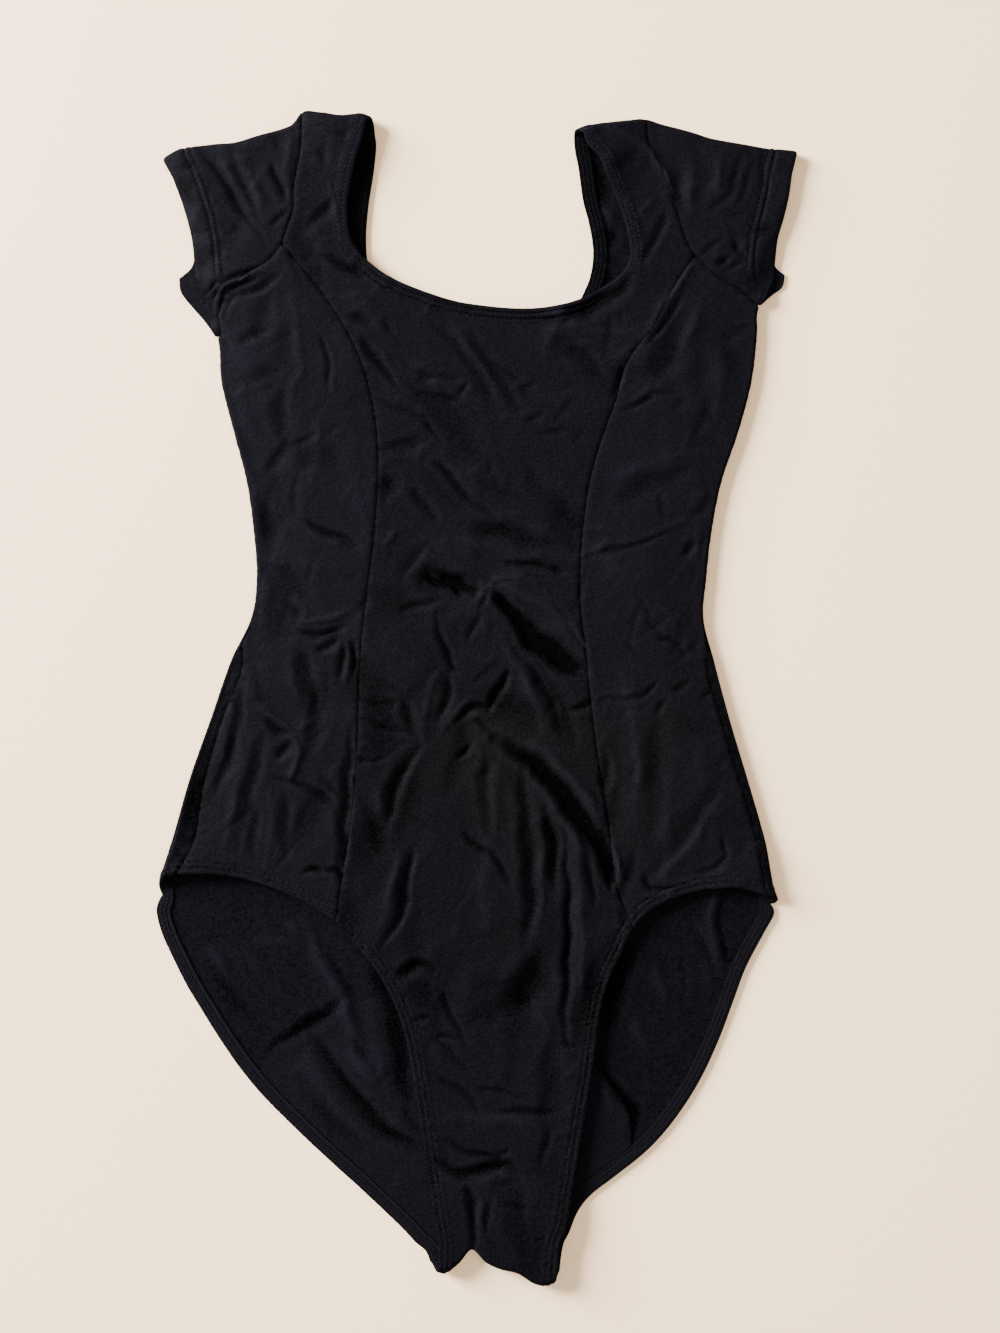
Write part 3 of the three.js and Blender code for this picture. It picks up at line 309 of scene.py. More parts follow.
CROTCH_SEAM = {"left": -23.0, "right": 45.5}

# The creases of the top layer. A row gives the half width to the left and to the right of the way that it
# runs, how far it rises or sinks, and the places that it runs through, all in mm.
WAIST_CREASES = (
    (6, 7, -1.7, (-32, 70), (-16, 66), (0, 60)),
    (1.6, 2, -2.4, (-28, 70), (-20, 63)),
    (1.6, 2, -2.4, (-18, 72), (-12, 64), (-8, 58)),
    (1.4, 1.8, -2.2, (-9, 70), (-4, 62)),
    (3, 3.4, -2.8, (-20, 66), (-10, 66), (-1, 60)),
    (2, 2.6, -1.8, (-3, 65), (3, 60)),
    (2, 2.4, -1.6, (-22, 72), (-8, 70), (3, 65)),
    (1.6, 2, 1.0, (3, 53), (7, 60), (11, 68), (23, 70), (40, 61), (42, 53)),
    (1.2, 1.6, -1.4, (1, 52), (5, 56), (8, 62)),
    (3.2, 3.4, -3.4, (11, 60), (19, 51), (27, 42)),
    (5.6, 6, -4.4, (20, 49), (34, 34), (46, 25), (62, 14)),
    (2, 11, -0.9, (18, 52), (34, 34), (62, 14)),
    (3, 2, 1.6, (11, 68), (32, 57), (48, 47), (59, 37), (64, 27)),
    (1.2, 1.6, -0.9, (36, 57), (49, 48), (56, 38), (64, 25)),
    (1.6, 3.2, -1.3, (15, 41), (27, 24), (40, 4), (47, -13), (50, -25)),
    (4, 6, -1.2, (31, 22), (48, -1), (56, -27)),
    (4, 2, 0.9, (14, 33), (31, 5), (41, -24)),
    (2, 2.4, -1.8, (54, -7), (60, -4), (66, -1)),
    (1.4, 2, -0.9, (66, -4), (77, 0), (92, 1), (97, 3)),
    (2, 3, 0.4, (71, 1), (93, 5)),
    (2, 3, -2.2, (-11, -15), (-3, -4), (7, -5)),
    (2.4, 2.4, -2.6, (6, -7), (13, 4), (18, 17)),
    (2.4, 1.6, 0.9, (-21, -21), (-10, -8), (-5, -1)),
    (1.6, 2, -1.3, (0, -11), (7, -17), (12, -23)),
    (4.6, 5.4, -4.6, (12, -22), (27, -32), (44, -46), (56, -62), (69, -79), (76, -103)),
    (2, 11, -0.9, (14, -26), (44, -48), (70, -84)),
    (3, 5, 1.3, (31, -25), (48, -36), (65, -58), (74, -86)),
    (1.4, 1.8, 1.2, (79, -84), (82, -104)),
    (3, 2.4, -2.6, (73, -86), (77, -98), (77, -109)),
    (5, 2.4, 1.2, (14, -32), (31, -45), (47, -66), (60, -86)),
    (3, 3, -1.6, (-40, -1), (-38, -13), (-32, -23)),
    (3, 4.4, -2.3, (-32, -27), (-42, -42), (-50, -68)),
    (3, 4, -0.8, (-46, -58), (-52, -75)),
    (2.4, 2.4, 1.1, (-29, -21), (-28, -1), (-21, 13), (-14, 20)),
    (1.6, 2.6, -1.6, (-22, 49), (-18, 30), (-10, 15)),
    (2, 3.4, -1.5, (-14, 13), (-16, -1), (-21, -13)),
    (1.4, 2.4, -1.0, (3, 51), (0, 42), (-4, 33)),
    (2, 2, 0.5, (6, 48), (5, 33)),
    (1.4, 2, -1.8, (-11, -33), (-3, -26)),
    (1.2, 1.8, -0.8, (-66, 1), (-52, -3), (-38, 0)),
    (1.2, 2, -1.0, (-65, -11), (-49, -17), (-32, -22)),
    (1.2, 1.8, -0.9, (-67, -33), (-59, -36), (-49, -33)),
    (1.2, 1.6, -0.7, (-64, -22), (-55, -24)),
    (1.2, 1.6, -0.6, (-65, -28), (-57, -30)),
    (4, 4, -0.9, (-52, 125), (-51, 110)),
    (2.6, 3.4, -1.2, (-35, 119), (-21, 101)),
    (1.8, 3, -1.7, (-25, 134), (-15, 129), (-3, 115), (13, 103)),
    (3, 2, 0.6, (-21, 138), (2, 119), (18, 109)),
    (1.6, 2, 1.1, (-46, 96), (-52, 86)),
    (2.6, 4, -0.8, (-27, 89), (-42, 70)),
    (4.4, 5.6, -1.7, (-6, 99), (20, 94), (47, 86)),
    (1.6, 2.6, -1.8, (17, 78), (34, 76), (50, 73)),
    (2.2, 2.4, -1.2, (44, 75), (52, 72)),
    (1, 1.4, -0.5, (25, 71), (42, 68)),
    (1.8, 2.8, -1.1, (-43, 49), (-33, 54), (-19, 56)),
    (1.6, 2.4, -0.8, (-55, 11), (-32, -2)),
)
CHEST_CREASES = (
    (2.4, 3.2, -1.9, (-88, 252), (-75, 247), (-60, 240)),
    (3, 3.4, -1.4, (-72, 217), (-65, 216), (-58, 212)),
    (2, 3, -1.6, (-64, 205), (-58, 196), (-50, 186), (-46, 179)),
    (1.4, 2, -0.9, (-52, 216), (-47, 208)),
    (1.2, 1.8, -1.0, (-32, 182), (-20, 183), (-5, 183)),
    (3.4, 3.4, -0.9, (-33, 185), (-22, 181)),
    (1.2, 2, -1.0, (-41, 180), (-26, 173), (-9, 169), (4, 160)),
    (1.2, 1.8, -0.9, (-10, 172), (-4, 181)),
    (1.4, 2.2, -1.1, (-57, 172), (-44, 165), (-28, 158), (-18, 145)),
    (3, 2, 0.5, (-50, 176), (-32, 166), (-16, 158)),
    (2.4, 3.6, -1.0, (-54, 142), (-37, 145), (-27, 148)),
    (4, 4, -0.9, (-53, 128), (-48, 122), (-46, 114)),
    (2.4, 4, -1.0, (-27, 216), (-9, 201), (1, 186), (11, 167)),
    (3, 4.4, -0.9, (-3, 210), (14, 182), (26, 163)),
    (3, 3, 0.5, (-14, 214), (4, 188), (18, 166)),
    (2.2, 2.6, -1.4, (38, 217), (55, 213)),
    (3, 5, -1.8, (50, 218), (66, 224), (79, 231), (89, 241)),
    (4, 5, -1.1, (46, 204), (59, 198), (72, 183)),
    (2.6, 3.4, -1.0, (11, 191), (25, 181)),
    (1.4, 2, -0.8, (24, 177), (34, 178)),
    (1.6, 2, -0.9, (29, 158), (38, 163)),
    (1.6, 2, -0.9, (35, 151), (51, 152)),
    (1.6, 2, 0.7, (56, 213), (78, 208), (93, 207)),
    (2, 2, 0.5, (48, 201), (71, 203)),
    (4, 4, -0.6, (30, 130), (40, 112)),
    (9, 9, 0.6, (0, 136), (-4, 80)),
)
LOWER_CREASES = (
    (3, 3.4, -1.4, (5, -33), (6, -58), (8, -78)),
    (4, 4, -1.9, (26, -41), (29, -75), (31, -115), (28, -140)),
    (3, 3, 1.1, (36, -58), (38, -92), (36, -132)),
    (2, 3, -1.6, (41, -66), (45, -86), (44, -109)),
    (1.6, 2.4, 1.0, (48, -72), (50, -92), (50, -130), (48, -172)),
    (2, 3.4, -1.9, (51, -80), (53, -115), (52, -160), (51, -192)),
    (2, 2.4, -1.4, (56, -72), (62, -85), (66, -103), (67, -118)),
    (4, 4, 1.1, (59, -98), (61, -138), (59, -178)),
    (1.4, 1.8, -1.2, (50, -192), (52, -197), (58, -198)),
    (1.8, 2.6, -1.9, (-7, -77), (2, -84), (11, -91), (21, -106)),
    (2.4, 1.8, 0.5, (-3, -74), (14, -86), (24, -101)),
    (4, 4.6, -1.0, (-63, -58), (-50, -89)),
    (3, 3, 0.5, (-56, -52), (-42, -84)),
    (2, 4, -2.0, (-36, -86), (-39, -105), (-43, -126), (-53, -141)),
    (3.4, 2.4, 0.8, (-44, -86), (-48, -109), (-56, -132)),
    (2.4, 5, -2.0, (-45, -158), (-38, -152), (-29, -151), (-20, -157)),
    (6, 8, -1.0, (-40, -168), (-24, -166)),
    (1.4, 2.4, -1.4, (-19, -168), (-12, -183), (-5, -200)),
    (7, 9, -1.4, (10, -180), (22, -171), (33, -158), (38, -146)),
    (13, 13, -0.9, (-6, -168), (12, -173), (27, -162)),
    (1.6, 2, -1.5, (-35, -183), (-26, -181)),
    (1.6, 2, -1.3, (-23, -191), (-9, -195)),
    (5, 5, 0.6, (-38, -166), (-10, -166), (20, -176)),
    (1.8, 2.2, -1.0, (-26, -192), (-12, -203), (-3, -213)),
    (1.8, 2.4, -1.3, (-21, -217), (-6, -224), (3, -236)),
    (1.6, 2.2, -1.0, (1, -223), (17, -224), (31, -229)),
    (2.2, 3, -1.3, (14, -236), (31, -235), (49, -236)),
    (5, 7, 0.9, (-26, -241), (8, -240), (41, -245)),
    (1.6, 2.4, -1.6, (-21, -249), (-6, -257), (10, -261), (18, -257)),
    (3, 3.6, -2.4, (-22, -263), (-9, -270), (3, -269), (17, -265), (26, -270)),
    (2.4, 2.8, -2.0, (-6, -278), (-1, -289), (-2, -313)),
    (1.6, 2.4, -0.8, (14, -288), (32, -289)),
    (2, 2.6, -0.9, (8, -285), (5, -306)),
    (2, 3, -0.9, (42, -245), (38, -266)),
    (2, 3, 0.9, (2, -283), (6, -309)),
    (5, 5, 0.7, (28, -272), (33, -308)),
)
LEFT_CREASES = (
    (1, 1.8, -1.0, (-87, 206), (-84, 192), (-83, 174)),
    (1.2, 4, 0.4, (-98, 190), (-104, 175), (-106, 151)),
    (6, 3, -0.5, (-106, 186), (-114, 165), (-112, 148)),
    (1.2, 2, -0.8, (-106, 143), (-99, 146), (-90, 151)),
    (3, 4, -0.9, (-118, 129), (-109, 141), (-106, 151)),
    (4, 6, -0.6, (-117, 233), (-120, 216), (-122, 202)),
    (2.4, 3, -1.0, (-119, 210), (-135, 202)),
    (3, 3, 0.6, (-104, 232), (-101, 205), (-99, 180)),
    (5, 4, -0.8, (-109, 173), (-109, 147)),
    (6, 6, 0.6, (-88, 160), (-92, 120)),
    (1.4, 1.8, 1.3, (-132, 133), (-124, 113)),
    (5, 6, -0.9, (-122, 113), (-115, 87)),
    (1.6, 2.6, -2.0, (-97, 101), (-85, 96), (-76, 92), (-65, 87)),
    (3, 2, 0.5, (-96, 93), (-74, 84)),
    (1.4, 1.8, -0.7, (-78, 87), (-66, 87)),
    (7, 8, -1.0, (-109, 76), (-103, 65), (-95, 56)),
    (5, 5, 0.7, (-122, 70), (-121, 40)),
    (2, 2.6, -1.3, (-106, 53), (-99, 45)),
    (1.6, 1.6, 1.3, (-100, 41), (-88, 45), (-72, 49)),
    (1.6, 2.6, -2.0, (-101, 37), (-88, 37), (-74, 41)),
    (2.6, 3.2, -1.6, (-91, 28), (-83, 31), (-76, 37)),
    (1.6, 2, -1.2, (-75, 33), (-77, 11)),
    (1.6, 2, -1.6, (-69, 33), (-70, 14)),
    (1.4, 1.6, 0.9, (-72, 30), (-74, 5)),
    (3, 6, -1.2, (-99, 26), (-94, 12), (-91, -2)),
    (5, 3, -0.9, (-91, 4), (-92, -14), (-97, -34)),
    (4, 3, 0.7, (-107, 25), (-101, -1)),
    (1.6, 2, 1.5, (-124, -4), (-115, -11), (-103, -19)),
    (2.4, 2.8, -1.7, (-122, -10), (-114, -16), (-106, -21)),
    (1.4, 2, 1.6, (-103, -21), (-101, -30), (-106, -48)),
    (2.4, 2.8, -1.6, (-104, -25), (-113, -35)),
    (1.6, 2, 0.9, (-101, -20), (-90, -11)),
    (1.6, 2.6, -1.6, (-115, -46), (-100, -48), (-84, -58), (-78, -65)),
    (1.4, 2, -1.1, (-88, -44), (-76, -58)),
    (2.8, 3.6, -0.8, (-132, 19), (-135, -12), (-143, -38)),
    (3, 3, 0.7, (-138, 16), (-141, -18), (-150, -52)),
    (3, 3.6, -1.2, (-136, -21), (-141, -38), (-149, -55)),
    (3, 4.4, -1.0, (-120, -21), (-130, -58), (-135, -86)),
    (2.6, 2.6, 0.8, (-127, -24), (-137, -58), (-143, -86)),
    (2.6, 3.4, -1.0, (-126, -58), (-126, -91)),
    (3, 3.6, -1.1, (-108, -55), (-108, -91)),
    (3, 3, 0.7, (-116, -52), (-117, -86)),
    (1.8, 2.4, -2.2, (-98, -99), (-93, -97), (-86, -99)),
    (1.8, 2.4, -1.8, (-86, -100), (-79, -98), (-74, -103)),
    (2, 3.6, -1.8, (-70, -18), (-73, -52), (-75, -84), (-77, -104)),
    (1.6, 1.8, -2.2, (-120, 241), (-133, 237), (-143, 229), (-147, 219)),
    (1.2, 1.4, -1.5, (-124, 246), (-137, 241), (-147, 233), (-151, 225)),
    (1.4, 1.6, 0.8, (-118, 245), (-132, 240), (-144, 232), (-149, 222)),
    (2, 3.6, -1.4, (-112, 240), (-124, 233), (-138, 228), (-144, 217)),
    (1.6, 2, -1.4, (-146, 238), (-154, 231), (-157, 227)),
    (1.6, 2, -1.4, (-136, 237), (-150, 227), (-150, 215)),
    (5, 5, 0.6, (-134, 180), (-128, 148)),
)
RIGHT_CREASES = (
    (2.4, 2.4, 1.3, (122, 246), (114, 233), (99, 211), (93, 202)),
    (1.4, 2, -1.5, (120, 234), (110, 217), (97, 201)),
    (6, 7, -1.3, (119, 218), (113, 200), (106, 190), (98, 184)),
    (4, 4, 0.8, (128, 227), (122, 207), (114, 193)),
    (1.4, 2.2, -1.1, (102, 171), (93, 168), (84, 163)),
    (1.2, 1.6, -0.8, (102, 174), (117, 174)),
    (2.4, 1.8, 0.7, (87, 167), (99, 175), (109, 177)),
    (1.4, 1.8, -1.1, (85, 191), (80, 178), (77, 170)),
    (2.4, 3, -1.0, (109, 276), (102, 261), (96, 249)),
    (7, 7, -0.8, (83, 309), (90, 301)),
    (2, 2, 0.8, (102, 284), (93, 276)),
    (1.4, 2.4, 1.5, (76, 323), (84, 321), (93, 317), (102, 309), (109, 296), (115, 280)),
    (3, 3.4, -0.5, (137, 176), (126, 150)),
    (6, 6, 0.7, (141, 210), (138, 159)),
    (5, 6, -0.5, (128, 216), (130, 170)),
    (5, 6, -0.9, (82, 113), (99, 122), (122, 130)),
    (6, 5, 0.6, (78, 125), (122, 141)),
    (1.4, 1.6, 0.8, (54, 80), (71, 85), (99, 93), (128, 105)),
    (1.6, 2.4, -0.8, (56, 78), (82, 86), (111, 94)),
    (1.4, 2, -1.2, (131, 92), (128, 83)),
    (2, 2.6, -1.3, (125, 89), (117, 81)),
    (3, 3.6, -0.9, (136, 113), (122, 102)),
    (2, 3, -0.5, (95, 56), (102, 42), (109, 34)),
    (3, 3, 0.6, (102, 57), (116, 39)),
    (1.2, 1.6, -1.4, (105, 33), (112, 33), (119, 27)),
    (1.2, 1.8, -1.3, (105, 11), (100, 4), (95, 0)),
    (1.4, 2, -1.0, (108, -1), (102, -9)),
    (1.6, 2, -1.1, (112, 5), (122, 9)),
    (1.6, 2, -0.9, (128, 0), (136, 5)),
    (5, 4, -0.4, (103, -11), (102, -35), (102, -58), (100, -92)),
    (2.4, 3, -1.3, (74, -29), (75, -58)),
    (5, 5, 0.7, (93, -24), (91, -75)),
    (6, 3, -0.8, (99, -103), (119, -79), (140, -49)),
    (3, 8, 0.6, (102, -105), (122, -82), (143, -51)),
    (1.4, 1.8, -1.2, (141, -79), (142, -90)),
    (1.6, 2.2, -1.3, (126, -100), (136, -96), (143, -88)),
    (1.6, 2.2, -1.8, (96, -102), (102, -109), (112, -106)),
    (2, 2.4, -1.2, (82, -122), (86, -130)),
    (3, 3.6, -0.9, (91, -86), (83, -115)),
    (1.4, 2, -0.7, (86, 33), (97, 22)),
    (8, 8, 0.5, (126, -20), (132, -60)),
)
SLEEVE_CREASES = (
    (1.4, 2.2, -1.3, (-155, 310), (-143, 294), (-132, 277), (-121, 262)),
    (2.6, 2, 1.1, (-149, 313), (-135, 290), (-124, 272)),
    (2.4, 3.4, -0.9, (-139, 313), (-133, 296), (-122, 268)),
    (2, 2.4, -1.5, (-116, 304), (-110, 288), (-108, 283)),
    (2, 2, 0.8, (-107, 325), (-106, 313), (-108, 293)),
    (1.4, 2, -1.0, (-105, 280), (-110, 275), (-117, 269)),
    (6, 6, -1.3, (-162, 249), (-146, 252)),
    (6, 7, -1.5, (-171, 298), (-161, 284)),
    (2.4, 2.4, 0.6, (-129, 304), (-122, 281)),
    (2.4, 3, -0.6, (-169, 302), (-154, 306)),
    (3, 3.4, -0.7, (-171, 281), (-153, 284)),
    (2.4, 3, -0.6, (-164, 264), (-149, 266)),
    (4, 4, -0.5, (126, 313), (131, 296), (125, 281)),
    (2, 2.8, -0.8, (152, 309), (144, 287), (134, 277)),
    (2.6, 2.6, 0.8, (140, 311), (137, 290)),
    (1.8, 2.4, -0.6, (160, 306), (149, 281)),
    (1.2, 1.6, -0.9, (140, 276), (147, 275), (154, 276)),
    (2, 2.4, -1.1, (146, 260), (153, 252)),
    (1.4, 1.8, -0.9, (128, 252), (140, 261)),
    (2, 2.4, -1.5, (136, 247), (146, 252)),
    (3, 3.4, -1.0, (159, 267), (171, 267)),
    (2, 2, -1.1, (162, 245), (170, 245)),
    (1.4, 1.6, 0.8, (154, 261), (148, 252)),
    (3.6, 4, -0.9, (114, 304), (117, 276)),
    (3, 3, 0.6, (122, 307), (124, 276)),
    (1.8, 2.2, -0.9, (139, 244), (155, 249)),
    (3, 3, -0.7, (-89, 313), (-86, 306)),
    (2.6, 3.2, -1.0, (-97, 267), (-89, 276), (-80, 284)),
    (1.8, 2, -0.9, (-80, 322), (-73, 319)),
    (2, 2.4, 0.5, (-83, 296), (-79, 275)),
)


def smooth(rows, key, column):
    """A smooth function through a table's rows, held level past both ends."""
    at = rows[:, key].astype(float)
    level = rows[:, column].astype(float)
    slope = np.empty(len(at))
    slope[1:-1] = (level[2:] - level[:-2]) / (at[2:] - at[:-2])
    slope[0] = (level[1] - level[0]) / (at[1] - at[0])
    slope[-1] = (level[-1] - level[-2]) / (at[-1] - at[-2])

    def function(where):
        where = np.asarray(where, float)
        i = np.clip(np.searchsorted(at, where, side="right") - 1, 0, len(at) - 2)
        span = at[i + 1] - at[i]
        t = np.clip((where - at[i]) / span, 0, 1)
        back = 1 - t
        levels = (1 + 2 * t) * back**2 * level[i] + t * t * (3 - 2 * t) * level[i + 1]
        return levels + t * back * span * (back * slope[i] - t * slope[i + 1])

    return function


def eased(x, low, high):
    t = np.clip((np.asarray(x, float) - low) / (high - low), 0, 1)
    return t * t * (3 - 2 * t)


side_left = smooth(BODY, 0, 1)
side_right = smooth(BODY, 0, 2)
seam_left = smooth(BODY, 0, 3)
seam_right = smooth(BODY, 0, 4)
top_left = smooth(TOP_LEFT, 0, 1)
top_right = smooth(TOP_RIGHT, 0, 1)
crotch_line = smooth(CROTCH, 0, 1)


def top_line(x):
    return np.where(np.asarray(x) < 0, top_left(x), top_right(x))


def drawn_creases(rows):
    """Each crease of a table as a smooth line in steps, with the length up to each step."""
    drawn = []
    for left, right, rise, *places in rows:
        line = curve(places, 3.0)
        steps = np.hypot(*np.diff(line, axis=0).T)
        drawn.append((left, right, rise, line, np.concatenate([[0], np.cumsum(steps)])))
    return drawn


def wandered(x, y):
    """Places moved a little to and fro, so that no crease runs or ends quite smoothly."""
    aside = 0.7 * np.sin(0.23 * y + 1.7 * np.sin(0.09 * x)) + 0.15 * np.sin(0.6 * y + 0.4 * x + 1.0)
    along = 0.7 * np.sin(0.21 * x + 1.9 * np.sin(0.11 * y) + 2.0) + 0.15 * np.sin(0.55 * x - 0.5 * y)
    return x + aside, y + along


CREASE_SHARE = 0.88
CREASE_REACH = 3
LEAST_WIDTH = 0.35
RIDGE_CREST = 0.3
STEEPEST = 2.4
LIP_HEIGHT = 0.18
LIP_PLACE = 1.9


def crease_section(beside, half_width, rises):
    """The height across a crease: a pinched ridge, or a trough with a low lip beside it."""
    if rises:
        return np.exp(1.6 * (RIDGE_CREST - np.sqrt(beside**2 + RIDGE_CREST**2)))
    steep = min(1.3 + 0.25 * half_width, STEEPEST)
    return np.exp(-(beside**steep)) - LIP_HEIGHT * np.exp(-2.5 * (beside - LIP_PLACE) ** 2)


def crease_rise(creases, x, y):
    """The height that creases add: narrowing and fading to their ends, with low lips on both sides."""
    total = np.zeros(np.shape(x))
    x, y = wandered(x, y)
    for left, right, rise, line, lengths in creases:
        reach = CREASE_REACH * max(left, right)
        low, high = line.min(axis=0) - reach, line.max(axis=0) + reach
        near = (x > low[0]) & (x < high[0]) & (y > low[1]) & (y < high[1])
        if not near.any():
            continue
        px, py = x[near], y[near]
        nearest = np.full(px.shape, np.inf)
        off = np.zeros(px.shape)
        at = np.zeros(px.shape)
        for (ax, ay), (bx, by), length in zip(line[:-1], line[1:], lengths[:-1]):
            step = math.hypot(bx - ax, by - ay)
            ux, uy = (bx - ax) / step, (by - ay) / step
            along = np.clip((px - ax) * ux + (py - ay) * uy, 0, step)
            distance = np.hypot(px - ax - along * ux, py - ay - along * uy)
            closer = distance < nearest
            nearest = np.where(closer, distance, nearest)
            off = np.where(closer, (py - ay) * ux - (px - ax) * uy, off)
            at = np.where(closer, length + along, at)
        off_centre = 0.6 + 0.9 * (abs(line[0, 0] + line[0, 1]) * 0.37 % 1)
        share = np.clip(at / lengths[-1], 0, 1) ** off_centre
        taper = np.sqrt(np.sin(np.pi * np.clip(share, 0.02, 0.98)))
        beside = nearest / np.where(off > 0, left, right) / (LEAST_WIDTH + (1 - LEAST_WIDTH) * taper)
        section = crease_section(beside, max(left, right), rise > 0)
        total[near] += CREASE_SHARE * rise * taper * section
    return total


def turn_room(x, y):
    """How near a point is to a place where a casing turns, from 0 to 1."""
    near = [1 - eased(np.hypot(x - cx, y - cy), 0.4 * reach, reach) for cx, cy, reach in CASING_TURNS]
    return np.max(near, axis=0)


def level_space(x, y):
    inward = np.minimum(x - side_left(y), side_right(y) - x)
    return LAYER_SPACE + LOFT * eased(inward, 0, LOFT_REACH) + CASING_ROOM * turn_room(x, y)


def side_turn(y, sign):
    """Where the top layer's flat part ends and the cloth turns down at a side, and the turn's radius."""
    edge = side_left(y) if sign < 0 else side_right(y)
    radius = level_space(edge - FOLD_INSET * sign, y) / 2
    return edge - sign * (OUTER_SKIN + radius), radius


def top_turn(x):
    edge = top_line(x)
    radius = level_space(x, edge - FOLD_INSET) / 2
    return edge - OUTER_SKIN - radius, radius


def crotch_turn(x):
    edge = crotch_line(x)
    radius = level_space(x, edge + FOLD_INSET) / 2
    return edge + OUTER_SKIN + radius, radius


def bent(past, radius):
    """For a length past a turn's start: how far it reaches, its share of the way over, and if it is past."""
    angle = np.minimum(past / TURN_SPAN, 2) * math.pi / 2
    back = np.maximum(past - 2 * TURN_SPAN, 0)
    return radius * np.sin(angle) - back, (1 - np.cos(angle)) / 2, past >= 2 * TURN_SPAN


def folded(pattern, place, level, share, fold, sign, allowed):
    """Cloth past a fold: where it then lies, its place when level, and its share of the way over."""
    start, radius = fold
    past = (pattern - start) * sign
    out, part, through = bent(np.maximum(past, 0), radius)
    turned = (past > 0) & allowed
    reached = start + sign * out
    place = np.where(turned, reached, place)
    level = np.where(turned, np.where(through, reached, start), level)
    return place, level, np.where(turned, part, share)


def lie(
    p, q, top, low=(), starts_low=False, at_sides=False, on_top=False, at_crotch=False, sleeve=None, lift=0.0
):
    """The middle of the cloth at pattern points (p, q), as it lies. top and low are the layers' creases."""
    p = np.asarray(p, float)
    q = np.asarray(q, float)
    x, y = p.copy(), q.copy()
    level_x, level_y = p.copy(), q.copy()
    share = np.zeros_like(p)
    if at_sides:
        for sign in (-1, 1):
            x, level_x, share = folded(p, x, level_x, share, side_turn(q, sign), sign, p * sign > 0)
    if on_top:
        allowed = (share == 0) & (q > TOP_TURNS_ABOVE)
        y, level_y, share = folded(q, y, level_y, share, top_turn(p), 1, allowed)
    if at_crotch:
        allowed = (share == 0) & (q < CROTCH_TURNS_BELOW)
        y, level_y, share = folded(q, y, level_y, share, crotch_turn(p), -1, allowed)
    inward = np.minimum(level_x - side_left(level_y), side_right(level_y) - level_x)
    fade = np.ones_like(p) if sleeve else eased(inward, *EDGE_FADE)
    low_rise = crease_rise(low, level_x, level_y)
    # A sinking low crease adds no height; it only goes into the returned depth, which is painted as shade.
    base = LOW_MIDDLE + lift + np.maximum(low_rise, 0)
    rise = crease_rise(top, level_x, level_y) * fade
    space = level_space(level_x, level_y) + rise
    space = LEAST_SPACE + np.logaddexp(0, (space - LEAST_SPACE) * 3) / 3
    if sleeve:
        space = sleeve(level_x, level_y, space)
    up = share if starts_low else 1 - share
    return np.stack([x, y, base + space * up], axis=-1), rise * up + low_rise * (1 - up)


def square_to(p, q, **laid):
    """The direction square to the cloth at pattern points, on the pattern's upper side."""
    step = 0.4
    middle, _ = lie(p, q, **laid)
    across = lie(p + step, q, **laid)[0] - middle
    along = lie(p, q + step, **laid)[0] - middle
    square = np.cross(across, along)
    return square / np.linalg.norm(square, axis=1, keepdims=True)


def evenly(line, spacing):
    """A line through points, resampled in even steps."""
    line = np.asarray(line, float)
    steps = np.hypot(*np.diff(line, axis=0).T)
    length = np.concatenate([[0], np.cumsum(steps)])
    count = max(1, round(length[-1] / spacing))
    at = np.linspace(0, length[-1], count + 1)
    return np.stack([np.interp(at, length, line[:, 0]), np.interp(at, length, line[:, 1])], axis=1)


def curve(rows, spacing):
    """A smooth curve through a table's rows, in even steps."""
    rows = np.asarray(rows, float)
    before = np.vstack([rows[:1], rows[:-2]])
    after = np.vstack([rows[2:], rows[-1:]])
    start, end = rows[:-1], rows[1:]
    t = np.linspace(0, 1, 24, endpoint=False)[:, None, None]
    tangent_in = (end - before) / 2
    tangent_out = (after - start) / 2
    dense = (
        (2 * t**3 - 3 * t**2 + 1) * start
        + (t**3 - 2 * t**2 + t) * tangent_in
        + (3 * t**2 - 2 * t**3) * end
        + (t**3 - t**2) * tangent_out
    )
    dense = dense.transpose(1, 0, 2).reshape(-1, 2)
    return evenly(np.vstack([dense, rows[-1:]]), spacing)


def split_at(line, place):
    """Cuts a line at its point nearest to a place. Both parts keep that point."""
    cut = int(np.argmin(np.hypot(*(line - np.asarray(place, float)).T)))
    return line[: cut + 1], line[cut:]


def moved_left(line, by):
    """A line moved to its own left by a distance."""
    along = np.gradient(line, axis=0)
    along /= np.linalg.norm(along, axis=1, keepdims=True)
    return line + by * np.stack([-along[:, 1], along[:, 0]], axis=1)


LEAST_STEP = 0.4


def joined(*lines):
    """One closed outline from lines that each start where the last one ended."""
    outline = []
    for line in lines:
        for item in line:
            if not outline or np.hypot(*(outline[-1] - item)) > LEAST_STEP:
                outline.append(item)
    if np.hypot(*(outline[0] - outline[-1])) < LEAST_STEP:
        outline.pop()
    return np.array(outline)


def drawn_in(outline, by):
    """A closed outline, made smaller by a distance all round."""
    first = outline - np.roll(outline, 1, axis=0)
    second = np.roll(outline, -1, axis=0) - outline
    first /= np.linalg.norm(first, axis=1, keepdims=True)
    second /= np.linalg.norm(second, axis=1, keepdims=True)
    inward = np.stack([-first[:, 1] - second[:, 1], first[:, 0] + second[:, 0]], axis=1)
    inward /= np.linalg.norm(inward, axis=1, keepdims=True)
    turn = np.maximum(-inward[:, 0] * second[:, 1] + inward[:, 1] * second[:, 0], 0.5)
    return outline + inward * (by / turn)[:, None]


def is_inside(outline, points):
    x, y = points.T
    inside = np.zeros(len(points), bool)
    for (ax, ay), (bx, by) in zip(outline, np.roll(outline, -1, axis=0)):
        if ay != by:
            inside ^= ((ay > y) != (by > y)) & (x < (bx - ax) * (y - ay) / (by - ay) + ax)
    return inside


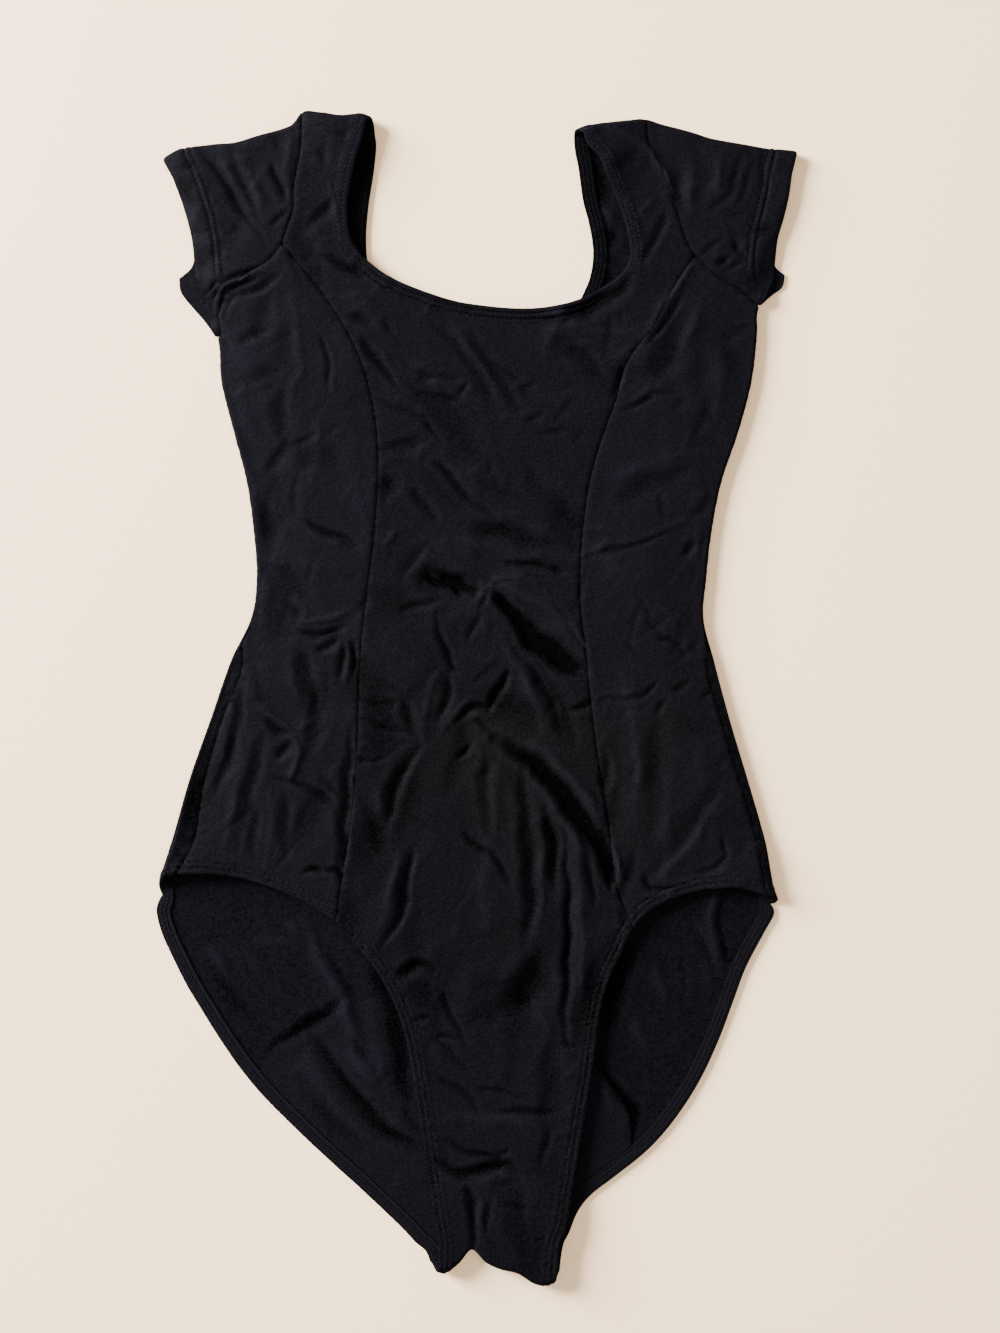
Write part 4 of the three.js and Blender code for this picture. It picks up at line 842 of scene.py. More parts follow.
def far_from(points, others, least):
    """Which points are at least that far from all the others."""
    tree = KDTree(len(others))
    for i, (x, y) in enumerate(others):
        tree.insert((x, y, 0), i)
    tree.balance()
    return np.array([tree.find((x, y, 0))[2] > least for x, y in points], bool)


ROW_ROOM = 0.32
GRID_ROOM = 0.62


def pattern_points(outline, rows, spacing):
    """Points of a pattern piece: its outline, the rows along its seams and edges, and a staggered grid."""
    points = outline
    for row in rows:
        row = row[is_inside(outline, row)]
        points = np.vstack([points, row[far_from(row, points, ROW_ROOM * FINE)]])
    rise = spacing * math.sqrt(0.75)
    low, high = outline.min(axis=0), outline.max(axis=0)
    across = np.arange(math.floor(low[0] / spacing), math.ceil(high[0] / spacing) + 1) * spacing
    up = np.arange(math.floor(low[1] / rise), math.ceil(high[1] / rise) + 1)
    grid = np.array([(x + (row % 2) * spacing / 2, row * rise) for row in up for x in across])
    grid = grid[is_inside(outline, grid)]
    return np.vstack([points, grid[far_from(grid, points, GRID_ROOM * spacing)]])


def distance_to(line, x, y):
    """The distance from each point to a line through points."""
    nearest = np.full(np.shape(x), np.inf)
    for (ax, ay), (bx, by) in zip(line[:-1], line[1:]):
        dx, dy = bx - ax, by - ay
        t = np.clip(((x - ax) * dx + (y - ay) * dy) / (dx * dx + dy * dy), 0, 1)
        nearest = np.minimum(nearest, np.hypot(x - ax - t * dx, y - ay - t * dy))
    return nearest


PATTERN_UNIT = 100


def wall_mesh(name, upper, lower, triangles, rim, flat, painted_crease_light, material):
    """A closed wall between two skins, with its pattern as UV map and the crease depth for painted shade."""
    count = len(upper)
    rim_next = np.roll(rim, -1)
    sides = np.concatenate(
        [
            np.stack([count + rim, count + rim_next, rim_next], axis=1),
            np.stack([count + rim, rim_next, rim], axis=1),
        ]
    )
    faces = np.vstack([triangles, count + triangles[:, ::-1], sides])
    mesh = bpy.data.meshes.new(name)
    mesh.from_pydata((np.vstack([upper, lower]) / 1000).tolist(), [], faces.tolist())
    both = np.vstack([flat, flat]) / PATTERN_UNIT
    uv = mesh.uv_layers.new(name="pattern")
    uv.data.foreach_set("uv", both[faces.reshape(-1)].reshape(-1))
    depth = mesh.attributes.new("painted_crease_light", "FLOAT", "POINT")
    depth.data.foreach_set("value", np.concatenate([painted_crease_light, painted_crease_light]).astype(np.float32))
    mesh.shade_smooth()
    mesh.set_sharp_from_angle(angle=math.radians(60))
    mesh.materials.append(material)
    piece = bpy.data.objects.new(name, mesh)
    bpy.context.scene.collection.objects.link(piece)
    return piece


RELIEF_SHADE = 2.5


def cut_piece(name, outline, rows, spacing, laid, relief, material):
    """A cut piece of cloth as it lies. relief raises its outer skin at bands, hems and seams."""
    points = pattern_points(outline, rows, spacing)
    count = len(outline)
    edges = [(i, (i + 1) % count) for i in range(count)]
    flat, _, triangles, *_ = delaunay_2d_cdt([Vector(item) for item in points], edges, [], 1, 1e-6)
    flat = np.array([tuple(item) for item in flat])
    triangles = np.array(triangles)
    a, b, c = (flat[triangles[:, i]] for i in range(3))
    turned = (b[:, 0] - a[:, 0]) * (c[:, 1] - a[:, 1]) < (b[:, 1] - a[:, 1]) * (c[:, 0] - a[:, 0])
    triangles[turned] = triangles[turned][:, ::-1]
    middle, rise = lie(flat[:, 0], flat[:, 1], **laid)
    square = square_to(flat[:, 0], flat[:, 1], **laid)
    up = -1 if laid.get("starts_low") else 1
    raised = relief(flat[:, 0], flat[:, 1])
    outer = middle + up * square * (OUTER_SKIN + raised)[:, None]
    inner = middle - up * square * INNER_SKIN
    upper, lower = (outer, inner) if up > 0 else (inner, outer)
    # Painted shade: crease depth, and cloth sunk at edges, seams and stitches, darken the knit's colour.
    painted_crease_light = -rise - RELIEF_SHADE * np.minimum(raised, 0)
    return wall_mesh(name, upper, lower, triangles, np.arange(count), flat, painted_crease_light, material)


def edge_groove(distance):
    """How far the cloth sinks at its rolled edge or at a seam."""
    return 0.45 * np.exp(-((distance / 0.9) ** 2))


BAND_RAISE = 0.42
STITCH_DEPTH = 0.64
STITCH_REACH = 0.7


def banded(distance, width, stitch_rows, depth=STITCH_DEPTH):
    """The relief of a turned edge: thicker as far as its width, rolled at the edge, sunk at its stitches."""
    relief = BAND_RAISE * (1 - eased(distance, width - 0.5, width + 0.7)) - edge_groove(distance)
    for row in stitch_rows:
        relief -= depth * np.exp(-(((distance - row) / STITCH_REACH) ** 2))
    return relief


def seamed(distance, along, allowance):
    """The relief beside a seam: a groove, small puckers, and the allowance if it is pressed to this side."""
    puckers = np.exp(-((distance / 3.6) ** 2)) * np.sin(0.95 * along + 2.6 * np.sin(0.19 * along))
    return allowance * (1 - eased(distance, 4.5, 7.0)) + 0.15 * puckers - edge_groove(distance)


def shoulder_seam(x):
    return top_turn(x)[0] + TURN_SPAN - TURN_GAP


def crotch_seam(x):
    return crotch_turn(x)[0] - TURN_SPAN + TURN_GAP


def side_seam(sign, bottom, top):
    """A side seam's points on the front's pattern and on the back's, from the underarm down."""
    y = np.linspace(top, bottom, round((top - bottom) / FINE) + 1)
    start, _ = side_turn(y, sign)
    inset = np.maximum((seam_left if sign < 0 else seam_right)(y), -TURN_SPAN)
    gap = TURN_GAP * np.clip(-inset / 3, 0, 1)
    front = np.stack([start - sign * (inset + gap), y], axis=1)
    back = np.stack([start + sign * (2 * TURN_SPAN + inset - gap), y], axis=1)
    return front, back


def armhole(rows, x, side_top, sign):
    fold = (float(side_turn(side_top[1], sign)[0]), side_top[1] + 1)
    down = curve([(x, float(shoulder_seam(x))), *rows, fold], FINE)
    return np.vstack([down, evenly([fold, side_top], FINE)[1:]])


def along_fold(start, end, height):
    x = np.linspace(start, end, max(1, round(abs(end - start) / FINE)) + 1)
    return np.stack([x, height(x)], axis=1)


def leg_edge(rows, start, x):
    return curve([tuple(start), *rows[1:], (x, float(crotch_seam(x)))], FINE)


front_side_left_seam, back_side_left_seam = side_seam(-1, LEG_LEFT[0][1], 206)
front_side_right_seam, back_side_right_seam = side_seam(1, LEG_RIGHT[0][1], 224)
front_neck = curve(
    [
        (SHOULDER_LEFT["neck"], float(shoulder_seam(SHOULDER_LEFT["neck"]))),
        *FRONT_NECK,
        (SHOULDER_RIGHT["neck"], float(shoulder_seam(SHOULDER_RIGHT["neck"]))),
    ],
    FINE,
)
arm_left = armhole(ARMHOLE_LEFT, SHOULDER_LEFT["arm"], front_side_left_seam[0], -1)
arm_right = armhole(ARMHOLE_RIGHT, SHOULDER_RIGHT["arm"], front_side_right_seam[0], 1)
arm_left_upper, arm_left_lower = split_at(arm_left, PRINCESS_LEFT[0])
arm_right_upper, arm_right_lower = split_at(arm_right, PRINCESS_RIGHT[0])
leg_left = leg_edge(LEG_LEFT, front_side_left_seam[-1], CROTCH_SEAM["left"])
leg_right = leg_edge(LEG_RIGHT, front_side_right_seam[-1], CROTCH_SEAM["right"])
leg_left_side, leg_left_centre = split_at(leg_left, PRINCESS_LEFT[-1])
leg_right_side, leg_right_centre = split_at(leg_right, PRINCESS_RIGHT[-1])
princess_left = curve([arm_left_lower[0], *PRINCESS_LEFT[1:-1], leg_left_centre[0]], FINE)
princess_right = curve([arm_right_lower[0], *PRINCESS_RIGHT[1:-1], leg_right_centre[0]], FINE)
shoulder_left = along_fold(SHOULDER_LEFT["neck"], SHOULDER_LEFT["arm"], shoulder_seam)
shoulder_right = along_fold(SHOULDER_RIGHT["arm"], SHOULDER_RIGHT["neck"], shoulder_seam)
crotch_joint = along_fold(CROTCH_SEAM["left"], CROTCH_SEAM["right"], crotch_seam)

# The bands' widths, the places of their two stitch rows, and the rows of points beside edges and seams.
BAND_STITCHES = (3.0, 6.3)
NECK_BAND = 7.6
LEG_BAND = 7.8
BAND_ROWS = (1.0, 2.0, 3.0, 4.0, 5.2, 6.3, 7.3, 8.4, 9.6)
SEAM_ROWS = (0.8, 1.8, 3.2)


def rows_beside(line, distances):
    """Rows of points on both sides of a line. Those outside the piece are left out later."""
    return [moved_left(line, sign * by) for by in distances for sign in (1, -1)]


COOL_BLACK = (0.0027, 0.0025, 0.0039, 1.0)
WARM_BLACK = (0.0031, 0.0025, 0.0026, 1.0)
BELLY_MIDDLE = (0.02, -0.04, 0.0)
BELLY_FADE = 6
HOLLOW_SHADE = 0.42
FLECK_SHADE = 2.2


def knit_material(name, lighter, warmer, roughness, rib_strength):
    """Black tricot: fine upright ribs, a faint clouding where it was stretched, painted shade in deep
    creases.
    """
    material, nodes = new_material(name)
    pattern = nodes.add("ShaderNodeUVMap", {"uv_map": "pattern"}).outputs[0]
    place = nodes.add("ShaderNodeTexCoord").outputs["Object"]
    cloud = nodes.value("ShaderNodeTexNoise", sockets={"Vector": place, "Scale": 14.0, "Detail": 4.0})
    # The knit is browner towards the belly, fading over a sixth of a metre.
    away = nodes.value("ShaderNodeVectorMath", {"operation": "DISTANCE"}, {0: place, 1: BELLY_MIDDLE}, "Value")
    near_belly = (1 - BELLY_FADE * away).clamped(0.0, 1.0)
    fleck = nodes.value("ShaderNodeTexNoise", sockets={"Vector": place, "Scale": 750.0, "Detail": 2.0})
    # Painted shade: crease depth darkens and warms the colour, and ridges are lightened as a painted
    # highlight.
    painted_crease_light = nodes.value("ShaderNodeAttribute", {"attribute_name": "painted_crease_light"}, output="Fac")
    deep = painted_crease_light.clamped(-1.2, 2.2)
    shade = (lighter - HOLLOW_SHADE * deep + FLECK_SHADE * (fleck - 0.5)).clamped(0.04, 2.6)
    warmth = (cloud + warmer + 0.5 * near_belly + 0.15 * painted_crease_light).clamped(0.0, 1.0)
    tint = nodes.add(
        "ShaderNodeMix", {"data_type": "RGBA"}, {"Factor": warmth, 6: COOL_BLACK, 7: WARM_BLACK}
    )
    color = nodes.add("ShaderNodeVectorMath", {"operation": "SCALE"}, {0: tint.outputs[2], "Scale": shade})
    ribs = nodes.value(
        "ShaderNodeTexWave",
        {"wave_type": "BANDS", "bands_direction": "X"},
        {"Vector": pattern, "Scale": 55.0, "Distortion": 1.2, "Detail": 2.0, "Detail Scale": 3.0},
    )
    loops = nodes.value("ShaderNodeTexNoise", sockets={"Vector": place, "Scale": 420.0, "Detail": 3.0})
    crumple = nodes.value("ShaderNodeTexNoise", sockets={"Vector": place, "Scale": 60.0, "Detail": 5.0})
    height = rib_strength * ribs + 0.6 * loops
    weave = nodes.add("ShaderNodeBump", sockets={"Strength": 0.6, "Distance": 0.00018, "Height": height})
    soft = nodes.add(
        "ShaderNodeBump",
        sockets={"Strength": 0.6, "Distance": 0.0016, "Height": crumple, "Normal": weave.outputs[0]},
    )
    shader = nodes.add(
        "ShaderNodeBsdfPrincipled",
        sockets={
            "Base Color": color.outputs[0],
            "Roughness": (roughness + 0.12 * (cloud - 0.5)).clamped(0.3, 1.0),
            "Normal": soft.outputs[0],
            "Specular IOR Level": 0.008,
            "Sheen Weight": 0.0004,
            "Sheen Roughness": 0.5,
            "Sheen Tint": (0.86, 0.84, 1.0, 1.0),
        },
    )
    finish_material(nodes, shader)
    return material


front_knit = knit_material("front_tricot", 1.0, -0.3, 0.56, 0.5)

# seed, how many, way and its spread, half lengths, widths, rises, lowest and highest place
FAINT_CREASES = (
    (7, 480, (0.9, 0.9), (3, 14), (0.9, 2.2), (0.15, 0.5), -340, 340),
    (11, 70, (1.5, 0.25), (18, 40), (3.5, 7.5), (0.4, 1.0), -340, 0),
    (13, 70, (-0.7, 0.6), (12, 30), (3.5, 8.0), (0.35, 0.9), -20, 340),
)


def scattered_creases(seed, count, lean, halves, widths, rises, low, high):
    """Faint creases all over, as thin cloth has them after it was folded and put away."""
    random = np.random.default_rng(seed)
    rows = []
    for _ in range(count):
        x, y = random.uniform((-180, low), (180, high))
        way = random.normal(*lean)
        half = random.uniform(*halves)
        width = random.uniform(*widths)
        dx, dy = half * math.cos(way), half * math.sin(way)
        bend = random.normal(0, 0.12 * half, 2)
        rise = random.choice((-1, 1)) * random.uniform(*rises)
        middle = (x + bend[0], y + bend[1])
        rows.append((width, 1.5 * width, rise, (x - dx, y - dy), middle, (x + dx, y + dy)))
    return tuple(rows)


CREASES = drawn_creases(
    WAIST_CREASES
    + CHEST_CREASES
    + LOWER_CREASES
    + LEFT_CREASES
    + RIGHT_CREASES
    + SLEEVE_CREASES
    + tuple(row for kind in FAINT_CREASES for row in scattered_creases(*kind))
)
CENTRE_LAID = {"top": CREASES, "on_top": True, "at_crotch": True}
centre_outline = joined(
    crotch_joint,
    leg_right_centre[::-1],
    princess_right[::-1],
    arm_right_upper[::-1],
    shoulder_right,
    front_neck[::-1],
    shoulder_left,
    arm_left_upper,
    princess_left,
    leg_left_centre,
)
centre_rows = [
    row
    for line, distances in (
        (front_neck, BAND_ROWS),
        (leg_left_centre, BAND_ROWS),
        (leg_right_centre, BAND_ROWS),
        (princess_left, SEAM_ROWS),
        (princess_right, SEAM_ROWS),
        (arm_left_upper, SEAM_ROWS),
        (arm_right_upper, SEAM_ROWS),
    )
    for row in rows_beside(line, distances)
]


def leg_banded(line, x, y):
    """The relief at a leg edge of the front: a stitched band, gathered into small bumps by its elastic."""
    beside = distance_to(line, x, y)
    bumps = np.sin(1.35 * x + 1.1 * np.sin(0.9 * y)) * np.sin(1.25 * y + 1.2 * np.sin(0.8 * x))
    return banded(beside, LEG_BAND, BAND_STITCHES) + 0.16 * bumps * np.exp(-((beside / 8) ** 4))


# The neck's stitch rows sink deep along the scoop and lie almost flush on the straps. The scoop ends between
# these places, to the right and upwards.
# Where the rows sink, the knit's colour darkens too, as painted shade.
SCOOP_DEPTH = 0.7
STRAP_DEPTH = 0.25
SCOOP_RIGHT = (58, 82)
SCOOP_TOP = (238, 258)


def centre_relief(x, y):
    scoop = (1 - eased(x, *SCOOP_RIGHT)) * (1 - eased(y, *SCOOP_TOP))
    neck_depth = STRAP_DEPTH + SCOOP_DEPTH * scoop
    relief = banded(distance_to(front_neck, x, y), NECK_BAND, BAND_STITCHES, neck_depth)
    for line in (leg_left_centre, leg_right_centre):
        relief += leg_banded(line, x, y)
    for line in (princess_left, princess_right):
        relief += seamed(distance_to(line, x, y), y, 0.0)
    for line in (arm_left_upper, arm_right_upper):
        relief += seamed(distance_to(line, x, y), y, 0.1)
    return relief


def stitch_tree():
    """Short round stitches in even steps along lines, flat on the cloth, each slanted the other way."""
    tree = bpy.data.node_groups.new("thread_stitches", "GeometryNodeTree")
    tree.interface.new_socket("Line", in_out="INPUT", socket_type="NodeSocketGeometry")
    for name in ("Pitch", "Length", "Width", "Slant"):
        tree.interface.new_socket(name, in_out="INPUT", socket_type="NodeSocketFloat")
    tree.interface.new_socket("Thread", in_out="INPUT", socket_type="NodeSocketMaterial")
    tree.interface.new_socket("Stitches", in_out="OUTPUT", socket_type="NodeSocketGeometry")
    nodes = Nodes(tree)
    given = nodes.add("NodeGroupInput").outputs
    curves = nodes.add("GeometryNodeMeshToCurve", sockets={"Mesh": given["Line"]})
    steps = nodes.add(
        "GeometryNodeResampleCurve",
        {"mode": "LENGTH"},
        {"Curve": curves.outputs[0], "Length": given["Pitch"]},
    )
    ball = nodes.add("GeometryNodeMeshUVSphere", sockets={"Segments": 6, "Rings": 4, "Radius": 0.5})
    width = Value(nodes, given["Width"])
    size = nodes.add("ShaderNodeCombineXYZ", sockets={"X": given["Length"], "Y": width, "Z": 0.7 * width})
    stitch = nodes.add(
        "GeometryNodeTransform", sockets={"Geometry": ball.outputs[0], "Scale": size.outputs[0]}
    )
    up = nodes.add("GeometryNodeInputNamedAttribute", {"data_type": "FLOAT_VECTOR"}, {"Name": "up"})
    along = nodes.add("GeometryNodeInputTangent")
    level = nodes.add(
        "FunctionNodeAxesToRotation",
        sockets={"Primary Axis": up.outputs[0], "Secondary Axis": along.outputs[0]},
    )
    number = nodes.value("GeometryNodeInputIndex")
    odd = nodes.value("ShaderNodeMath", {"operation": "MODULO"}, {0: number, 1: 2.0})
    slant = Value(nodes, given["Slant"]) * (1 - 2 * odd)
    lean = nodes.add("FunctionNodeAxisAngleToRotation", sockets={"Axis": (0, 0, 1), "Angle": slant})
    turned = nodes.add(
        "FunctionNodeRotateRotation",
        {"rotation_space": "LOCAL"},
        {"Rotation": level.outputs[0], "Rotate By": lean.outputs[0]},
    )
    placed = nodes.add(
        "GeometryNodeInstanceOnPoints",
        sockets={"Points": steps.outputs[0], "Instance": stitch.outputs[0], "Rotation": turned.outputs[0]},
    )
    real = nodes.add("GeometryNodeRealizeInstances", sockets={"Geometry": placed.outputs[0]})
    threaded = nodes.add(
        "GeometryNodeSetMaterial", sockets={"Geometry": real.outputs[0], "Material": given["Thread"]}
    )
    nodes.add("NodeGroupOutput", sockets={"Stitches": threaded.outputs[0]})
    return tree


stitching = stitch_tree()


def thread_material(name, dark, light):
    """Polyester thread: darker and lighter where it is twisted."""
    material, nodes = new_material(name)
    place = nodes.add("ShaderNodeTexCoord").outputs["Object"]
    twist = nodes.value("ShaderNodeTexNoise", sockets={"Vector": place, "Scale": 1500.0, "Detail": 2.0})
    color = nodes.add("ShaderNodeMix", {"data_type": "RGBA"}, {"Factor": twist, 6: dark, 7: light})
    shader = nodes.add(
        "ShaderNodeBsdfPrincipled",
        sockets={
            "Base Color": color.outputs[2],
            "Roughness": (0.45 + 0.2 * twist).clamped(0.0, 1.0),
            "Specular IOR Level": 0.05,
        },
    )
    finish_material(nodes, shader)
    return material


DARK_THREAD = (0.0020, 0.0019, 0.0028, 1.0)
LIGHT_THREAD = (0.0050, 0.0048, 0.0064, 1.0)
thread = thread_material("black_thread", DARK_THREAD, LIGHT_THREAD)


def sewn(name, stretches, pitch, length, width, slant=0.0, yarn=thread):
    """Rows of stitches. A stretch has how its piece lies, its height off the middle, and its line."""
    corners, ups, edges = [], [], []
    for laid, height, line in stretches:
        middle, _ = lie(line[:, 0], line[:, 1], **laid)
        square = square_to(line[:, 0], line[:, 1], **laid)
        edges += [(i, i + 1) for i in range(len(corners), len(corners) + len(line) - 1)]
        corners += ((middle + square * np.reshape(height, (-1, 1))) / 1000).tolist()
        ups += square.tolist()
    mesh = bpy.data.meshes.new(name)
    mesh.from_pydata(corners, edges, [])
    mesh.attributes.new("up", "FLOAT_VECTOR", "POINT").data.foreach_set("vector", np.ravel(ups))
    rows = bpy.data.objects.new(name, mesh)
    bpy.context.scene.collection.objects.link(rows)
    sewing = rows.modifiers.new("stitching", "NODES")
    sewing.node_group = stitching
    given = {
        "Pitch": pitch / 1000,
        "Length": length / 1000,
        "Width": width / 1000,
        "Slant": slant,
        "Thread": yarn,
    }
    for socket in stitching.interface.items_tree:
        if socket.in_out == "INPUT" and socket.name in given:
            sewing[socket.identifier] = given[socket.name]
    evaluated = rows.evaluated_get(bpy.context.evaluated_depsgraph_get())
    rows.data = bpy.data.meshes.new_from_object(evaluated)
    rows.modifiers.remove(sewing)
    rows.data.shade_smooth()
    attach(rows, "root")
    return rows


def top_rows(laid, relief, line, distances):
    """Stitch rows on the cloth's upper side, at distances to the left of a line."""
    moved = [moved_left(line, by) for by in distances]
    return [(laid, OUTER_SKIN + relief(row[:, 0], row[:, 1]), row) for row in moved]


neck_stitches = sewn(
    "front_neck_stitches",
    top_rows(CENTRE_LAID, centre_relief, front_neck[::-1], BAND_STITCHES),
    pitch=2.6,
    length=1.6,
    width=0.62,
)
leg_stitches = sewn(
    "front_leg_stitches",
    [
        *top_rows(CENTRE_LAID, centre_relief, leg_left_centre, BAND_STITCHES),
        *top_rows(CENTRE_LAID, centre_relief, leg_right_centre[::-1], BAND_STITCHES),
    ],
    pitch=2.9,
    length=2.1,
    width=0.62,
)
front_centre = cut_piece(
    "front_centre_panel",
    drawn_in(centre_outline, SEAM_GAP / 2),
    centre_rows,
    FRONT_GRID,
    CENTRE_LAID,
    centre_relief,
    front_knit,
)
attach(front_centre, "root")
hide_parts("front_centre")


# The two side fronts, from the armholes to the leg edges. They are cut from the same tricot as the centre,
# and the princess seams draw their long edges into small puckers. Below the waist the side seams lie on top
# of the folds.
SIDE_LAID = {"top": CREASES, "at_sides": True}
side_knit = knit_material("side_tricot", 1.14, -0.3, 0.56, 0.5)


def side_relief(princess, arm, leg, seam):
    def relief(x, y):
        return (
            leg_banded(leg, x, y)
            + seamed(distance_to(princess, x, y), y, 0.08)
            + seamed(distance_to(arm, x, y), y, 0.1)
            + seamed(distance_to(seam, x, y), y, 0.05)
        )

    return relief


def side_front(hand, outline, princess, arm, leg, seam):
    """One side front, from its outline, the lines of its three seams, and its leg edge."""
    relief = side_relief(princess, arm, leg, seam)
    rows = rows_beside(leg, BAND_ROWS)
    for line in (princess, arm, seam):
        rows += rows_beside(line, SEAM_ROWS)
    piece = cut_piece(
        f"side_front_{hand}_panel",
        drawn_in(outline, SEAM_GAP / 2),
        rows,
        FRONT_GRID,
        SIDE_LAID,
        relief,
        side_knit,
    )
    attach(piece, "root")
    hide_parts(f"front_side_{hand}")
    stitches = sewn(
        f"front_side_{hand}_leg_stitches",
        top_rows(SIDE_LAID, relief, leg if hand == "left" else leg[::-1], BAND_STITCHES),
        pitch=2.9,
        length=2.1,
        width=0.62,
    )


side_front(
    "left",
    joined(princess_left[::-1], arm_left_lower, front_side_left_seam, leg_left_side),
    princess_left,
    arm_left_lower,
    leg_left_side,
    front_side_left_seam,
)
side_front(
    "right",
    joined(princess_right, leg_right_side[::-1], front_side_right_seam[::-1], arm_right_lower[::-1]),
    princess_right,
    arm_right_lower,
    leg_right_side,
    front_side_right_seam,
)


# The back is one piece, from the shoulders to the crotch. It lies on the table with its inside up, and its
# lower sides turn over onto the top, where the side seams are. Its inside shows in the leg openings and
# beside the straps.
BACK_NECK = (
    (56, 318.5), (58.5, 303), (61, 285), (64.5, 271.6), (66.8, 257), (66, 245), (62, 233),
    (51, 214), (30, 197), (0, 190), (-31, 198), (-52, 220), (-61, 246), (-62.8, 262),
    (-61.5, 281), (-58.6, 300), (-57, 316), (-58, 325),
)
BACK_ARMHOLE_LEFT = ((-99.6, 318), (-104, 292), (-112, 266), (-124, 243), (-137, 226))
BACK_ARMHOLE_RIGHT = ((98.5, 316), (104, 292), (113, 268), (127, 248), (143, 235))
BACK_LEG_LEFT = (
    (-180, -112.5), (-182.8, -121), (-180.1, -133.1), (-174.4, -146.2), (-165.9, -163.3),
    (-157.3, -177.6), (-145.9, -195.8), (-133.4, -213.5), (-120.3, -228.9), (-100.3, -248.8),
    (-83.2, -264.8), (-65, -281.3), (-44.5, -300.7), (-34.8, -311), (-27, -320),
)
BACK_LEG_RIGHT = (
    (168.5, -117.5), (170.6, -123), (164.7, -134.2), (154.5, -153.6), (147.6, -171.9),
    (139.1, -194.7), (127.7, -219), (113.4, -241), (98, -258.4), (79.2, -273.5), (66.1, -283.6),
    (58.5, -293), (53.5, -305), (49, -317),
)
# The creases of the back's inside. The cloth lies on the table, so a crease that sinks is only painted shade.
# The sinking rows beside the neck are painted shadow, under the straps.
BACK_CREASES_AND_SHADE = (
    (3.4, 6, -3.8, (-92, -193), (-74, -221), (-54, -242), (-34, -256)),
    (1.6, 2, -1.6, (-71, -195), (-61, -208)),
    (5, 6, -3.0, (-68, -140), (-55, -160), (-47, -184), (-43, -209), (-40, -235)),
    (1.6, 2, -1.4, (-56, -224), (-49, -211)),
    (2, 2.6, -1.5, (-44, -233), (-32, -249)),
    (2.4, 3, -1.5, (-83, -149), (-76, -160), (-70, -174)),
    (2.4, 3, -1.3, (-138, -137), (-124, -160), (-110, -172)),
    (2.4, 4, -2.8, (-121, -206), (-115, -196), (-100, -187), (-76, -172)),
    (1.6, 2.6, -2.4, (141, -109), (139, -126), (143, -148), (148, -142)),
    (2.4, 3, -1.6, (120, -123), (129, -138), (138, -157), (135, -175)),
    (2, 2.4, -1.5, (118, -146), (121, -178), (128, -179)),
    (3, 4.4, -2.8, (67, -204), (83, -226), (91, -238), (89, -252)),
    (2, 3, -1.6, (70, -215), (74, -241)),
    (6, 9, -2.6, (86, -138), (79, -163), (74, -190)),
    (3, 5, -1.0, (-150, -150), (-138, -172), (-120, -190)),
    (4, 5, -1.2, (-100, -215), (-86, -236), (-66, -254)),
    (3, 5, 2.4, (-97, -129), (-88, -149), (-75, -172), (-67, -198)),
    (2, 4, 1.2, (-106, -127), (-99, -138)),
    (2.4, 4, 1.5, (-152, -141), (-145, -152), (-139, -163)),
    (2, 4, 1.7, (-135, -141), (-120, -163), (-107, -173)),
    (2, 3, 1.0, (-126, -137), (-100, -142)),
    (3, 5, 1.8, (-75, -195), (-56, -220)),
    (2.4, 5, 1.8, (-90, -200), (-74, -223), (-59, -237), (-38, -248)),
    (2, 2.6, 1.2, (-49, -209), (-55, -223)),
    (5, 6, 1.0, (-100, -206), (-89, -229)),
    (2, 3.6, 2.0, (137, -107), (136, -126), (140, -146), (147, -143)),
    (2.4, 3.6, 1.7, (122, -125), (131, -138), (138, -156), (135, -173)),
    (2, 3, 1.5, (119, -146), (121, -178)),
    (3, 4, 1.3, (101, -149), (109, -174)),
    (3, 4, 1.2, (91, -183), (100, -206)),
    (2.4, 4, 1.6, (71, -215), (74, -241)),
    (7, 8, -2.4, (58, 324), (66, 300), (71, 276)),
    (4, 4, -2.2, (68, 256), (79, 267)),
    (4, 3, -2.0, (62, 238), (73, 239), (81, 246)),
    (2, 2.6, 1.6, (69, 284), (76, 277), (81, 270)),
    (1.6, 2.4, 1.6, (67, 252), (75, 250), (82, 245)),
    (2, 3, -1.8, (-66, 318), (-70, 296), (-72, 270), (-66, 254)),
)
LOW_CREASES_AND_SHADE = drawn_creases(BACK_CREASES_AND_SHADE)
BACK_GRID = 2.6
BACK_BAND_ROWS = (1.0, 3.0, 7.0)
FURROW_DEPTH = 0.32
FURROW_PLACE = 6
FURROW_REACH = 4
back_knit = knit_material("back_tricot_inside", 0.85, -0.4, 0.62, 0.4)

BACK_LAID = {
    "top": CREASES,
    "low": LOW_CREASES_AND_SHADE,
    "starts_low": True,
    "at_sides": True,
    "on_top": True,
    "at_crotch": True,
}
back_neck = curve(
    [
        (SHOULDER_RIGHT["neck"], float(shoulder_seam(SHOULDER_RIGHT["neck"]))),
        *BACK_NECK,
        (SHOULDER_LEFT["neck"], float(shoulder_seam(SHOULDER_LEFT["neck"]))),
    ],
    FINE,
)
back_arm_left = armhole(BACK_ARMHOLE_LEFT, SHOULDER_LEFT["arm"], back_side_left_seam[0], -1)
back_arm_right = armhole(BACK_ARMHOLE_RIGHT, SHOULDER_RIGHT["arm"], back_side_right_seam[0], 1)


def back_leg(rows, start, x):
    """A back leg edge: from the side seam on top, round the side fold, and down to the crotch."""
    turn = curve([tuple(start), rows[0]], FINE)
    down = curve([*rows, (x, float(crotch_seam(x)))], FINE)
    return np.vstack([turn, down[1:]])


